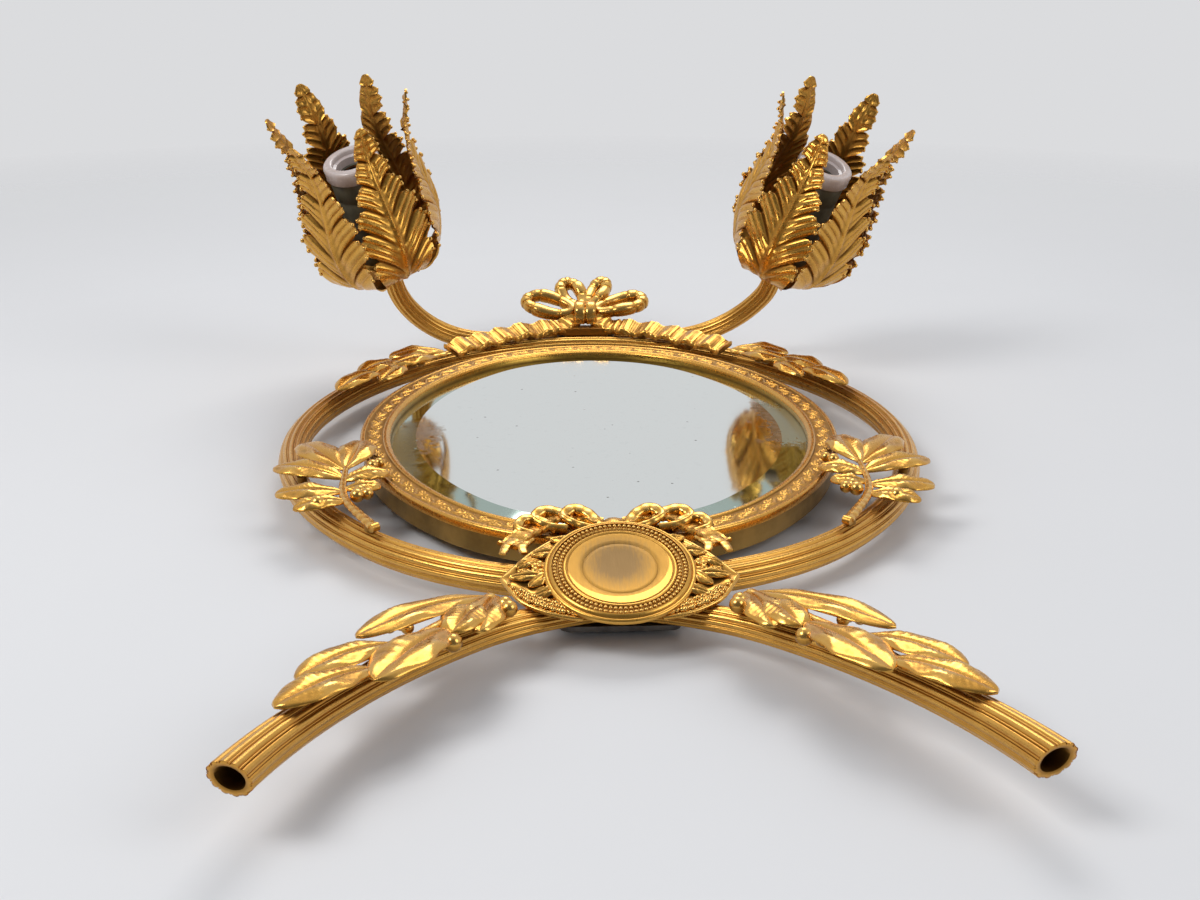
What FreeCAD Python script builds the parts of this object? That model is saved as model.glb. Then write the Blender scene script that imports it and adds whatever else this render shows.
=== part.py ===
import FreeCAD, Part
import math
import os
from FreeCAD import Placement, Rotation, Vector

# A girandole mirror: an oval bevelled glass in a chased brass frame, hung inside a reeded oval ring,
# with two flared legs below, two arms above, and a tulip of acanthus petals round each lampholder.
# Millimetres and degrees. The part lies on its back: +Z comes out of the mirror's face,
# +Y points to the bow, +X to the right. The pieces are drawn with z = 0 on the rest plane, and
# saved with the origin in the middle of the backing board's back face.

# ---- levels above the rest plane ----
NUT_H = 3.2             # nuts behind the clamps, on which the part rests
CLAMP_T = 2.0           # clamp plates behind the tubes
CLAMP_TOP = NUT_H + CLAMP_T
SEAT = 0.15             # play between an ornament and the tube that carries it
FIT = 0.05              # radial play of a screw or pin in its hole
OVAL_SHARE = 0.61       # (half height - half width) of an oval over its end arcs' centre distance

# ---- reeded tubes ----
REEDS = 12
REED_DEPTH = 0.65
RING_R = 6.0            # ring tube, outer radius over the reeds
RING_BORE = 4.2
RING_HALF_W = 144.0     # ring centre line, half width
RING_HALF_H = 168.0     # ring centre line, half height
LEG_R0 = 4.4            # leg tube at the middle
LEG_R1 = 6.8            # leg tube at its open end
LEG_BORE = 2.7
LEG_MOUTH_R = 4.1       # counterbore at the open end
LEG_MOUTH_L = 14.0
LEG_FLARE = 0.5          # the mouth is this much wider where the cut has opened its wall
LEG_CUT = 24.0          # the open end is cut back on the wall's side by this angle
LEG_GAP = 6.6           # free gap between ring tube and leg tube, where the studs pass
LEG_RISE = 6.0          # the legs' plane leaves the wall by this angle
LEG_STATIONS = 8        # spans of the lofted horn
LEG_PATH = [("arc", 42.0, -18.5), ("arc", 98.0, -26.5), ("arc", 244.0, -29.5)]
ARM_R = 5.6
ARM_BORE = 4.0
ARM_GAP = 5.4           # free gap between ring tube and arm tube
ARM_LEAN = 23.0         # the arms' plane leans back over the mirror by this angle
LEFT_ARM_PATH = [("line", 57.0), ("arc", 56.0, 60.0), ("arc", 44.0, 18.0), ("line", 6.0)]
RIGHT_ARM_PATH = [("line", 44.0), ("arc", 73.0, 55.0), ("arc", 24.0, 19.0), ("line", 6.0)]

# ---- mirror frame ----
FRAME_HALF_W = 112.5
FRAME_HALF_H = 143.0
FRAME_BACK = 6.2        # back edge of the side band
FRAME_DEPTH = 13.3
FRAME_TOP = FRAME_BACK + FRAME_DEPTH
RIM_W = 14.0            # chased front rim
RIM_EDGE_T = 3.6        # height of the rim's outer edge
LIP_W = 2.5             # part of the rim that covers the glass
BAND_INSET = 1.4
BAND_T = 1.2
GLASS_T = 4.0
GLASS_EDGE_T = 1.8
BEVEL_W = 14.0
GLASS_PLAY = 0.3
FLANGE_T = 1.2          # flange soldered inside the band, round the backing board
FLANGE_INSET = 1.0      # flange behind the band's back edge
BUTTON_T = 1.5
BUTTON_L = 13.0         # reach of a turn button from its screw
BUTTON_HALF_W = 3.0
BUTTON_SCREW_R = 1.2
BUTTON_HEAD_R = 2.6
BUTTON_HEAD_H = 1.3
BUTTON_IN = 7.6         # screw centres, in from the frame's outer edge
BOARD_FIELD_T = 2.0     # raised middle of the board's back, inside the rebate for the buttons
BOARD_FIELD_GAP = 1.2   # from the buttons' tips to the raised middle

# ---- clamps, studs and hanging bail ----
STUD_R = 2.0
NUT_AF = 7.0
LOW_STUD_X = 11.0
TOP_STUD_X = 15.0
CLAMP_HALF_W = 22.0
CLAMP_SIDE = 5.0        # a clamp plate reaches this far past the tubes' centre lines
INLET_R = 3.0           # cord inlet through the top clamp and the arm tube
BAIL_WIRE_R = 1.5
BAIL_HALF_W = 10.0
BAIL_H = 14.0
BAIL_CORNER_R = 4.0
BARREL_R = 2.9
BARREL_HALF_L = 6.0

# ---- medallion ----
DISC_R = 27.6
DISC_EDGE_T = 1.8
BEAD_TRACK_R = 23.0     # middle of the beaded track
BEAD_TRACK_W = 4.2
DISH_SAG = 1.1          # hollow of the plain field
DISC_TILT = 17.0
DISC_BELOW = 14.0       # middle of the disc below the ring's centre line
DISC_Z = 22.6           # middle of the disc's back
WING_T = 2.4
WING_REACH = 42.5
SADDLE_HALF_W = 16.0

# ---- laurel leaves and berries ----
LEAF_T = 2.2
BERRY_R = 3.0
KNOB_R = 6.5            # shell knob of the crest

# ---- bow ----
BOW_TILT = 24.0
BOW_RIBBON_W = 6.0
BOW_RIBBON_T = 4.6
TAIL_W = 12.0           # tails of the bow
TAIL_T = 5.5
BOW_KNOT_R = 9.0
BOW_KNOT_Y = 14.0        # knot from the foot, in the plane of the bow

# ---- lights ----
HUB_H = 4.0
SPIGOT_L = 5.0
DISH_R = 12.5
DISH_T = 2.0
PETALS = 6
PETAL_H = 108.0
PETAL_T = 1.2
PETAL_LAYER = 2.0       # inner petals stand this far inside the outer ones
BELLY_R = 37.0
NECK_R = 32.0
TIP_R = 38.5
PETAL_HALF_W = 19.5
LOBES = 5
HOLDER_R = 14.4
HOLDER_TOP = 72.0
PORCELAIN_R = 15.6
PORCELAIN_BORE = 9.0
PORCELAIN_H = 8.0
SHELL_R = 6.95          # small screw cap, inside radius of the threaded shell
SHELL_T = 0.45
SHELL_L = 22.0
CONTACT_R = 2.6
CONTACT_H = 1.6         # the contact's tip stands this high in its well
CONTACT_WELL_R = 6.2
CONTACT_WELL_L = 2.4    # depth of the well under the screw shell

# ---- worked out from the sizes above ----
RING_Z = CLAMP_TOP + RING_R
RING_END_C = (RING_HALF_H - RING_HALF_W) / OVAL_SHARE
FRAME_END_C = (FRAME_HALF_H - FRAME_HALF_W) / OVAL_SHARE
DISC_Y = -(RING_HALF_H + DISC_BELOW)
ARM_Y = RING_HALF_H + RING_R + ARM_GAP + ARM_R
ARM_Z = CLAMP_TOP + ARM_R
LEG_Y = -(RING_HALF_H + RING_R + LEG_GAP + LEG_R0)
LEG_Z = CLAMP_TOP + LEG_R0
LOW_STUD_Y = -(RING_HALF_H + RING_R + LEG_GAP / 2)
TOP_STUD_Y = RING_HALF_H + RING_R + ARM_GAP / 2
UP = Vector(0, 0, 1)
BAIL_Y = ARM_Y + ARM_R + BARREL_R + 0.6
BAIL_Z = NUT_H + CLAMP_T / 2


def save(name, shape):
    """Write one sub-part, lowered to the saved origin; a single solid loses its compound wrapper."""
    solids = shape.Solids
    if len(solids) == 1:
        shape = solids[0]
    saved = shape.copy()
    saved.translate(UP * -board_back())
    saved.exportStep("parts/" + name + ".step")


def fuse(shapes):
    """Join overlapping or touching solids of one piece."""
    if len(shapes) == 1:
        return shapes[0]
    return shapes[0].multiFuse(shapes[1:]).removeSplitter()


def mirrored(shape):
    """The left-hand twin of a right-hand piece."""
    return shape.mirror(Vector(0, 0, 0), Vector(1, 0, 0))


# ---- plane paths: straight runs ("line", length) and arcs ("arc", radius, turn to the left) ----

def piece_length(piece):
    if piece[0] == "line":
        return piece[1]
    return abs(math.radians(piece[2])) * piece[1]


def path_length(path):
    return sum(piece_length(piece) for piece in path)


def step_along(place, piece, share=1.0):
    """The place (x, y, heading) after a share of one path piece."""
    x, y, heading = place
    angle = math.radians(heading)
    if piece[0] == "line":
        run = piece[1] * share
        return x + run * math.cos(angle), y + run * math.sin(angle), heading
    radius = math.copysign(piece[1], piece[2])
    turned = math.radians(piece[2] * share)
    x += radius * (math.sin(angle + turned) - math.sin(angle))
    y -= radius * (math.cos(angle + turned) - math.cos(angle))
    return x, y, heading + piece[2] * share


def walk(path, distance, start=(0.0, 0.0, 0.0)):
    """The place (x, y, heading) at a distance along a path."""
    place = start
    for piece in path:
        length = piece_length(piece)
        if distance <= length:
            return step_along(place, piece, distance / length)
        distance -= length
        place = step_along(place, piece)
    return place


def path_end(path, start=(0.0, 0.0, 0.0)):
    place = start
    for piece in path:
        place = step_along(place, piece)
    return place


def sweep(path, face, start=(0.0, 0.0, 0.0)):
    """Carry a face, drawn in the plane X = 0 with +Y to the path's left, along a plane path."""
    solids = []
    place = start
    for piece in path:
        x, y, heading = place
        here = face.copy()
        here.Placement = Placement(Vector(x, y, 0), Rotation(UP, heading)).multiply(face.Placement)
        if piece[0] == "line":
            ahead = Vector(math.cos(math.radians(heading)), math.sin(math.radians(heading)), 0)
            solids.append(here.extrude(ahead * piece[1]))
        else:
            side = math.radians(heading + math.copysign(90, piece[2]))
            centre = Vector(x + piece[1] * math.cos(side), y + piece[1] * math.sin(side), 0)
            solids.append(here.revolve(centre, UP, piece[2]))
        place = step_along(place, piece)
    return fuse(solids)


# ---- outlines ----

def polygon_face(points):
    return Part.Face(Part.makePolygon(points + [points[0]]))


def reed_points(radius):
    """Corners of a reeded section: a crest and a groove for each reed."""
    points = []
    for i in range(2 * REEDS):
        angle = math.pi * i / REEDS
        r = radius if i % 2 == 0 else radius - REED_DEPTH
        points.append((r * math.cos(angle), r * math.sin(angle)))
    return points


def disc_edge(radius, centre, normal):
    return Part.Wire(Part.makeCircle(radius, centre, normal))


def reeded_face(radius, bore, z):
    """Section of a reeded tube in the plane X = 0, with its round bore."""
    corners = [Vector(0, a, z + b) for a, b in reed_points(radius)]
    outer = Part.makePolygon(corners + [corners[0]])
    return Part.Face([outer, disc_edge(bore, Vector(0, 0, z), Vector(1, 0, 0))])


def round_face(radius, z):
    return Part.Face(disc_edge(radius, Vector(0, 0, z), Vector(1, 0, 0)))


def oval_arcs(half_w, half_h, end_c):
    """Side radius, end radius and joint angle of a four-centre oval."""
    extra = half_h - half_w
    side_c = extra * (2 * end_c - extra) / (2 * (end_c - extra))
    joint = math.degrees(math.atan2(abs(end_c), abs(side_c)))
    return half_w + side_c, half_h - end_c, joint


def oval_reach(half_w, half_h, end_c, turn):
    """Distance from the middle of an oval to its line, in a direction in degrees."""
    side_r, end_r, joint = oval_arcs(half_w, half_h, end_c)
    ahead = Vector(abs(math.cos(math.radians(turn))), abs(math.sin(math.radians(turn))), 0)
    corner = Vector(0, end_c, 0) + Rotation(UP, joint).multVec(Vector(end_r, 0, 0))
    at_end = ahead.y * corner.x >= ahead.x * corner.y
    centre, radius = (Vector(0, end_c, 0), end_r) if at_end else (Vector(half_w - side_r, 0, 0), side_r)
    along = ahead * centre
    return along + math.sqrt(along ** 2 - centre * centre + radius ** 2)


def between(turn, share):
    """Plan point in a direction: share 0 is the frame's edge, share 1 the ring's centre line."""
    near = oval_reach(FRAME_HALF_W, FRAME_HALF_H, FRAME_END_C, turn)
    far = oval_reach(RING_HALF_W, RING_HALF_H, RING_END_C, turn)
    reach = near + (far - near) * share
    return reach * math.cos(math.radians(turn)), reach * math.sin(math.radians(turn))


def half_oval_path(half_w, half_h, end_c):
    """Right half of the oval, from the bottom to the top."""
    side_r, end_r, joint = oval_arcs(half_w, half_h, end_c)
    return [("arc", end_r, 90 - joint), ("arc", side_r, 2 * joint), ("arc", end_r, 90 - joint)]


def oval_path(half_w, half_h, end_c):
    side_r, end_r, joint = oval_arcs(half_w, half_h, end_c)
    side = ("arc", side_r, 2 * joint)
    end = ("arc", end_r, 180 - 2 * joint)
    half_end = ("arc", end_r, 90 - joint)
    return [half_end, side, end, side, half_end]


def path_wire(path, start, z):
    """Closed wire through the arcs of a path."""
    edges = []
    place = start
    for piece in path:
        middle = step_along(place, piece, 0.5)
        end = step_along(place, piece)
        corners = [Vector(p[0], p[1], z) for p in (place, middle, end)]
        edges.append(Part.Arc(corners[0], corners[1], corners[2]).toShape())
        place = end
    return Part.Wire(edges)


def frame_oval(inset):
    """Oval path inside the frame's outer edge by an inset, and its start at the bottom."""
    half_h = FRAME_HALF_H - inset
    path = oval_path(FRAME_HALF_W - inset, half_h, FRAME_END_C)
    return path, (0.0, -half_h, 0.0)


def frame_plate(inset, z0, z1):
    path, start = frame_oval(inset)
    return Part.Face(path_wire(path, start, z0)).extrude(UP * (z1 - z0))


def frame_ring(corners):
    """Sweep a profile round the frame; corners are (in from the outer edge, height)."""
    path, start = frame_oval(0)
    return sweep(path, polygon_face([Vector(0, inset, z) for inset, z in corners]), start)


# ---- tubes ----

def ring_half():
    path = half_oval_path(RING_HALF_W, RING_HALF_H, RING_END_C)
    face = reeded_face(RING_R, RING_BORE, RING_Z)
    return sweep(path, face, (0.0, -RING_HALF_H, 0.0))


def leg_place():
    return Placement(Vector(0, LEG_Y, LEG_Z), Rotation(Vector(1, 0, 0), -LEG_RISE))


def leg_radius(distance):
    """Outer radius of the leg, growing towards the open end."""
    return LEG_R0 + (LEG_R1 - LEG_R0) * distance / path_length(LEG_PATH)


def leg_cut_depth():
    """How far the slanting cut reaches back along the wall of the leg's mouth."""
    return (LEG_R1 + LEG_MOUTH_R + LEG_FLARE) * math.tan(math.radians(LEG_CUT))


def leg_half():
    """Reeded horn: sections along the leg's path, lofted, with a stepped bore."""
    length = path_length(LEG_PATH)
    sections = []
    for i in range(LEG_STATIONS + 1):
        distance = length * i / LEG_STATIONS
        x, y, heading = walk(LEG_PATH, distance)
        place = Placement(Vector(x, y, 0), Rotation(UP, heading))
        corners = [place.multVec(Vector(0, a, b)) for a, b in reed_points(leg_radius(distance))]
        sections.append(Part.makePolygon(corners + [corners[0]]))
    horn = Part.makeLoft(sections, True, False)
    bore = sweep(LEG_PATH, round_face(LEG_BORE, 0))
    x, y, heading = path_end(LEG_PATH)
    ahead = Rotation(UP, heading).multVec(Vector(1, 0, 0))
    outside = Vector(x, y, 0) + ahead
    mouth = Part.makeCylinder(LEG_MOUTH_R, LEG_MOUTH_L + 1, outside, ahead * -1)
    flare = Part.makeCylinder(LEG_MOUTH_R + LEG_FLARE, leg_cut_depth() + 1, outside, ahead * -1)
    beyond = Part.makeBox(4 * LEG_R1, 4 * LEG_R1, 4 * LEG_R1, Vector(0, -2 * LEG_R1, -4 * LEG_R1))
    beyond.rotate(Vector(0, 0, 0), Vector(0, 1, 0), LEG_CUT)
    beyond.Placement = Placement(Vector(x, y, LEG_R1), Rotation(UP, heading)).multiply(beyond.Placement)
    leg = horn.cut(bore).cut(mouth).cut(flare).cut(beyond)
    leg.Placement = leg_place()
    return leg


def arm_place():
    return Placement(Vector(0, ARM_Y, ARM_Z), Rotation(Vector(1, 0, 0), 90 + ARM_LEAN))


def arm_half(path):
    arm = sweep(path, reeded_face(ARM_R, ARM_BORE, 0))
    arm.Placement = arm_place()
    inlet = Part.makeCylinder(INLET_R, ARM_R + 1, Vector(0, ARM_Y, ARM_Z), UP * -1)
    return arm.cut(inlet)


# ---- mirror frame ----

def front_rim():
    """Chased rim: stepped outer edge, flat field, raised inner bead, and a rebate for the glass."""
    inner = RIM_W - LIP_W
    lip_z = FRAME_TOP - 4.2
    field_z = FRAME_TOP - 0.6
    return frame_ring([
        (0, FRAME_TOP - RIM_EDGE_T), (0, FRAME_TOP - 1.0), (0.8, FRAME_TOP - 0.2), (2.0, FRAME_TOP - 0.2),
        (2.6, field_z), (10.2, field_z), (10.8, FRAME_TOP), (12.4, FRAME_TOP), (13.2, FRAME_TOP - 0.6),
        (RIM_W, FRAME_TOP - 1.8), (RIM_W, lip_z), (inner, lip_z), (inner, lip_z - 2.3),
        (inner - 2.0, lip_z - 2.3), (inner - 2.0, FRAME_TOP - RIM_EDGE_T)])


def glass_back():
    return FRAME_TOP - 4.2 - 0.5 - GLASS_EDGE_T


def side_band():
    """Plain sheet band behind the rim."""
    outer = BAND_INSET
    inner = BAND_INSET + BAND_T
    top = FRAME_TOP - RIM_EDGE_T
    return frame_ring([(outer, FRAME_BACK), (outer, top), (inner, top), (inner, FRAME_BACK)])


def mirror_glass():
    """Plate with a ground bevel that thins it towards its edge."""
    edge = RIM_W - LIP_W + GLASS_PLAY
    back = glass_back()
    plate = frame_plate(edge, back, back + GLASS_T)
    bevel = frame_ring([(edge - 1, back + GLASS_EDGE_T), (edge, back + GLASS_EDGE_T),
                        (edge + BEVEL_W, back + GLASS_T), (edge + BEVEL_W, back + GLASS_T + 1),
                        (edge - 1, back + GLASS_T + 1)])
    return plate.cut(bevel)


def flange_back():
    return FRAME_BACK + FLANGE_INSET


def board_back():
    return flange_back() - BOARD_FIELD_T


def backing_board():
    """Board behind the glass: the turn buttons lie on its rebated edge, clear of its raised middle."""
    edge = frame_plate(RIM_W - LIP_W + 2 * GLASS_PLAY, flange_back(), glass_back())
    middle = frame_plate(BUTTON_IN + BUTTON_L + BOARD_FIELD_GAP, board_back(), glass_back())
    return fuse([edge, middle])


def back_flange():
    """Sheet flange that the turn buttons are screwed to."""
    outer = BAND_INSET + BAND_T
    inner = RIM_W - LIP_W
    z0 = flange_back()
    flange = frame_ring([(outer, z0), (outer, z0 + FLANGE_T), (inner, z0 + FLANGE_T), (inner, z0)])
    for x, y, _ in button_places():
        hole = Part.makeCylinder(BUTTON_SCREW_R + FIT, 4 * FLANGE_T, Vector(x, y, z0 - FLANGE_T))
        flange = flange.cut(hole)
    return flange


def button_places():
    """Screw centres of the turn buttons and the direction towards the board."""
    path = oval_path(FRAME_HALF_W - BUTTON_IN, FRAME_HALF_H - BUTTON_IN, FRAME_END_C)
    start = (0.0, -(FRAME_HALF_H - BUTTON_IN), 0.0)
    length = path_length(path)
    places = []
    for quarter in range(4):
        x, y, heading = walk(path, length * (quarter + 0.5) / 4, start)
        places.append((x, y, heading + 90))
    return places


def turn_button(x, y, inward):
    """Flat brass button with a round pivot end and a tapered tip."""
    z0 = flange_back() - BUTTON_T - FIT
    tip = BUTTON_L
    blade = polygon_face([Vector(0, -BUTTON_HALF_W, 0), Vector(tip - 2, -BUTTON_HALF_W * 0.7, 0),
                          Vector(tip, 0, 0), Vector(tip - 2, BUTTON_HALF_W * 0.7, 0),
                          Vector(0, BUTTON_HALF_W, 0)]).extrude(UP * BUTTON_T)
    boss = Part.makeCylinder(BUTTON_HALF_W, BUTTON_T)
    hole = Part.makeCylinder(BUTTON_SCREW_R + FIT, 4 * BUTTON_T, Vector(0, 0, -BUTTON_T))
    button = fuse([blade, boss]).cut(hole)
    button.Placement = Placement(Vector(x, y, z0), Rotation(UP, inward))
    return button


def button_screws():
    screws = []
    for x, y, _ in button_places():
        top = flange_back() + FLANGE_T
        head_z = flange_back() - BUTTON_T - 2 * FIT
        shank = Part.makeCylinder(BUTTON_SCREW_R, top - head_z, Vector(x, y, head_z))
        head = Part.makeCone(BUTTON_HEAD_R * 0.7, BUTTON_HEAD_R, BUTTON_HEAD_H,
                             Vector(x, y, head_z - BUTTON_HEAD_H))
        screws.append(fuse([shank, head]))
    return Part.makeCompound(screws)


# ---- clamps ----

def clamp_holes(plate, stud_x, stud_y):
    for x in (-stud_x, stud_x):
        plate = plate.cut(Part.makeCylinder(STUD_R + FIT, 3 * CLAMP_T, Vector(x, stud_y, NUT_H - CLAMP_T)))
    return plate


def low_clamp():
    """Plate behind the ring and the legs."""
    y0 = LEG_Y - CLAMP_SIDE
    depth = -RING_HALF_H + CLAMP_SIDE - y0
    plate = Part.makeBox(2 * CLAMP_HALF_W, depth, CLAMP_T, Vector(-CLAMP_HALF_W, y0, NUT_H))
    plate = plate.makeFillet(4.0, [e for e in plate.Edges if abs(e.tangentAt(0).z) > 0.9])
    return clamp_holes(plate, LOW_STUD_X, LOW_STUD_Y)


def top_clamp():
    """Plate behind the ring and the arms, with the inlet for the cord and the bail's barrel."""
    y0 = RING_HALF_H - CLAMP_SIDE
    plate_l = ARM_Y + CLAMP_SIDE - y0
    plate = Part.makeBox(2 * CLAMP_HALF_W, plate_l, CLAMP_T, Vector(-CLAMP_HALF_W, y0, NUT_H))
    plate = plate.makeFillet(4.0, [e for e in plate.Edges if abs(e.tangentAt(0).z) > 0.9])
    tongue_l = BAIL_Y - y0 - 10
    tongue = Part.makeBox(2 * BARREL_HALF_L, tongue_l, CLAMP_T, Vector(-BARREL_HALF_L, y0 + 10, NUT_H))
    along = Vector(1, 0, 0)
    start = Vector(-BARREL_HALF_L, BAIL_Y, BAIL_Z)
    barrel = Part.makeCylinder(BARREL_R, 2 * BARREL_HALF_L, start, along)
    eye = Part.makeCylinder(BAIL_WIRE_R + FIT, 2 * BARREL_HALF_L + 2, start - along, along)
    inlet = Part.makeCylinder(INLET_R, 3 * CLAMP_T, Vector(0, ARM_Y, NUT_H - CLAMP_T))
    return clamp_holes(fuse([plate, tongue, barrel]).cut(eye).cut(inlet), TOP_STUD_X, TOP_STUD_Y)


def hanging_bail():
    """Wire loop whose straight side turns in the clamp's barrel."""
    side = 2 * (BAIL_HALF_W - BAIL_CORNER_R)
    rise = BAIL_H - 2 * BAIL_CORNER_R
    corner = ("arc", BAIL_CORNER_R, 90.0)
    path = [("line", side), corner, ("line", rise), corner, ("line", side), corner, ("line", rise), corner]
    bail = sweep(path, round_face(BAIL_WIRE_R, 0), (-side / 2, 0.0, 0.0))
    bail.Placement = Placement(Vector(0, BAIL_Y, BAIL_Z), Rotation())
    return bail


def stud_places():
    return [(-LOW_STUD_X, LOW_STUD_Y, saddle_mid_z()), (LOW_STUD_X, LOW_STUD_Y, saddle_mid_z()),
            (-TOP_STUD_X, TOP_STUD_Y, bow_seat_z() + 3.0), (TOP_STUD_X, TOP_STUD_Y, bow_seat_z() + 3.0)]


def clamp_studs():
    bottom = 0.4
    return Part.makeCompound([Part.makeCylinder(STUD_R, top - bottom, Vector(x, y, bottom))
                              for x, y, top in stud_places()])


def clamp_nuts():
    nuts = []
    for x, y, _ in stud_places():
        corner_r = NUT_AF / math.sqrt(3)
        corners = [Vector(x + corner_r * math.cos(math.radians(60 * i)),
                          y + corner_r * math.sin(math.radians(60 * i)), 0) for i in range(6)]
        nut = polygon_face(corners).extrude(UP * NUT_H)
        nuts.append(nut.cut(Part.makeCylinder(STUD_R + FIT, 3 * NUT_H, Vector(x, y, -NUT_H))))
    return Part.makeCompound(nuts)


# ---- medallion ----

def disc_place(lift=0.0):
    """Place on the tilted medallion plane, raised from its back by a lift."""
    turn = Rotation(Vector(1, 0, 0), DISC_TILT)
    return Placement(Vector(0, DISC_Y, DISC_Z) + turn.multVec(UP * lift), turn)


def saddle_mid_z():
    """Height of the saddle's sloped top over the studs, less a cover."""
    slope = math.tan(math.radians(DISC_TILT))
    return DISC_Z - WING_T / math.cos(math.radians(DISC_TILT)) + (LOW_STUD_Y - DISC_Y) * slope - 1.5


def ring_groove():
    """Round bar along the bottom of the ring, to cut the saddle's seat."""
    end_r = RING_HALF_H - RING_END_C
    half = math.degrees(SADDLE_HALF_W / end_r) + 2
    angle = math.radians(half)
    start = (-end_r * math.sin(angle), -RING_END_C - end_r * math.cos(angle), -half)
    return sweep([("arc", end_r, 2 * half)], round_face(RING_R + SEAT, RING_Z), start)


def leg_groove():
    """Round bar along the legs where the saddle sits on them."""
    near, after = LEG_PATH[:2]
    bar = sweep([near, after], round_face(leg_radius(SADDLE_HALF_W) + 2 * SEAT, 0))
    bar.Placement = leg_place()
    return fuse([bar, mirrored(bar)])


def medallion_saddle():
    """Block seated on the two tubes, with a sloped top for the medallion."""
    y_front = LEG_Y - 6.0
    y_back = -RING_HALF_H + 3.0
    y_step = LOW_STUD_Y - 2.6
    slope = math.tan(math.radians(DISC_TILT))
    drop = WING_T / math.cos(math.radians(DISC_TILT))

    def top_z(y):
        return DISC_Z - drop + (y - DISC_Y) * slope

    profile = polygon_face([Vector(-SADDLE_HALF_W, y, z) for y, z in [
        (y_front, LEG_Z + 2.0), (y_step, LEG_Z + 2.0), (y_step, RING_Z + 2.0), (y_back, RING_Z + 2.0),
        (y_back, top_z(y_back)), (y_front, top_z(y_front))]])
    block = profile.extrude(Vector(2 * SADDLE_HALF_W, 0, 0)).cut(ring_groove()).cut(leg_groove())
    for x, y, top in stud_places()[:2]:
        block = block.cut(Part.makeCylinder(STUD_R + FIT, top, Vector(x, y, 0.2)))
    return block


def medallion_disc():
    """Turned disc: rounded edge, track for the beads, thin groove and dished field."""
    track_out = BEAD_TRACK_R + BEAD_TRACK_W / 2
    track_in = BEAD_TRACK_R - BEAD_TRACK_W / 2
    rim_z = DISC_EDGE_T + 0.9
    points = [Vector(r, 0, z) for r, z in [
        (0, 0.05), (DISC_R, 0.05), (DISC_R, DISC_EDGE_T),
        (track_out + 0.6, rim_z), (track_out, rim_z - 0.6), (track_in, rim_z - 0.6),
        (track_in - 0.6, rim_z), (track_in - 1.8, rim_z), (track_in - 2.2, rim_z - 0.5),
        (track_in - 3.0, rim_z - 0.5), (track_in - 3.6, rim_z - 0.1)]]
    points += [Vector(0, 0, rim_z - 0.1)]
    disc = polygon_face(points).revolve(Vector(0, 0, 0), UP, 360)
    field_r = track_in - 3.6
    hollow_r = (field_r ** 2 + DISH_SAG ** 2) / (2 * DISH_SAG)
    disc = disc.cut(Part.makeSphere(hollow_r, Vector(0, 0, rim_z - 0.1 - DISH_SAG + hollow_r)))
    disc.Placement = disc_place()
    return disc


def medallion_wings():
    """Thin casting behind the disc, with a pointed wing at each side."""
    tip = Vector(WING_REACH, -1.5, 0)
    top = Vector(18.0, 22.0, 0)
    low = Vector(18.0, -22.0, 0)
    edges = [Part.Arc(low, Vector(34.0, -14.5, 0), tip).toShape(),
             Part.Arc(tip, Vector(31.0, 13.0, 0), top).toShape(),
             Part.LineSegment(top, Vector(0, 22, 0)).toShape(),
             Part.LineSegment(Vector(0, 22, 0), Vector(0, -22, 0)).toShape(),
             Part.LineSegment(Vector(0, -22, 0), low).toShape()]
    half = Part.Face(Part.Wire(edges)).extrude(UP * (WING_T - 0.05))
    wings = fuse([half, mirrored(half)])
    wings.Placement = disc_place(-WING_T)
    return wings


# ---- ribbons ----

def ribbon_loop(long_r, short_r, turn):
    """Flat oval loop of ribbon, standing on its edge, its long axis turned away from the knot."""
    path = oval_path(short_r, long_r, (long_r - short_r) * 1.6)
    half = BOW_RIBBON_T / 2
    section = polygon_face([Vector(0, -half, 0), Vector(0, half, 0),
                            Vector(0, half, BOW_RIBBON_W), Vector(0, -half, BOW_RIBBON_W)])
    loop = sweep(path, section, (0.0, 0.0, 0.0))
    loop.Placement = Placement(Vector(0, BOW_KNOT_Y, 0), Rotation(UP, turn)).multiply(
        Placement(Vector(0, BOW_KNOT_R, 0), Rotation()))
    return loop


def bow_seat_z():
    return RING_Z + RING_R + SEAT


def bow():
    """Four loops round a knot, tilted up from the tubes, on a foot that takes the studs."""
    loops = [ribbon_loop(15.5, 8.0, 72.0), ribbon_loop(15.5, 8.0, -72.0),
             ribbon_loop(11.4, 6.2, 24.0), ribbon_loop(11.4, 6.2, -24.0)]
    knot = Part.makeCylinder(BOW_KNOT_R, BOW_RIBBON_W + 1.0, Vector(0, BOW_KNOT_Y, 0))
    knot = knot.makeFillet(2.0, [knot.Edges[0]])
    head = fuse(loops + [knot])
    seat = bow_seat_z()
    head.Placement = Placement(Vector(0, TOP_STUD_Y - 2, seat + 1.0), Rotation(Vector(1, 0, 0), BOW_TILT))
    foot = Part.makeBox(2 * TOP_STUD_X + 10, 10.0, 4.0, Vector(-TOP_STUD_X - 5, TOP_STUD_Y - 5, seat))
    web = Part.makeBox(12.0, 12.0, 8.0, Vector(-6, TOP_STUD_Y - 4, seat))
    piece = fuse([head, foot, web])
    for x, y, top in stud_places()[2:]:
        piece = piece.cut(Part.makeCylinder(STUD_R + FIT, top - 9.8, Vector(x, y, 10.0)))
    return piece


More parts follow.
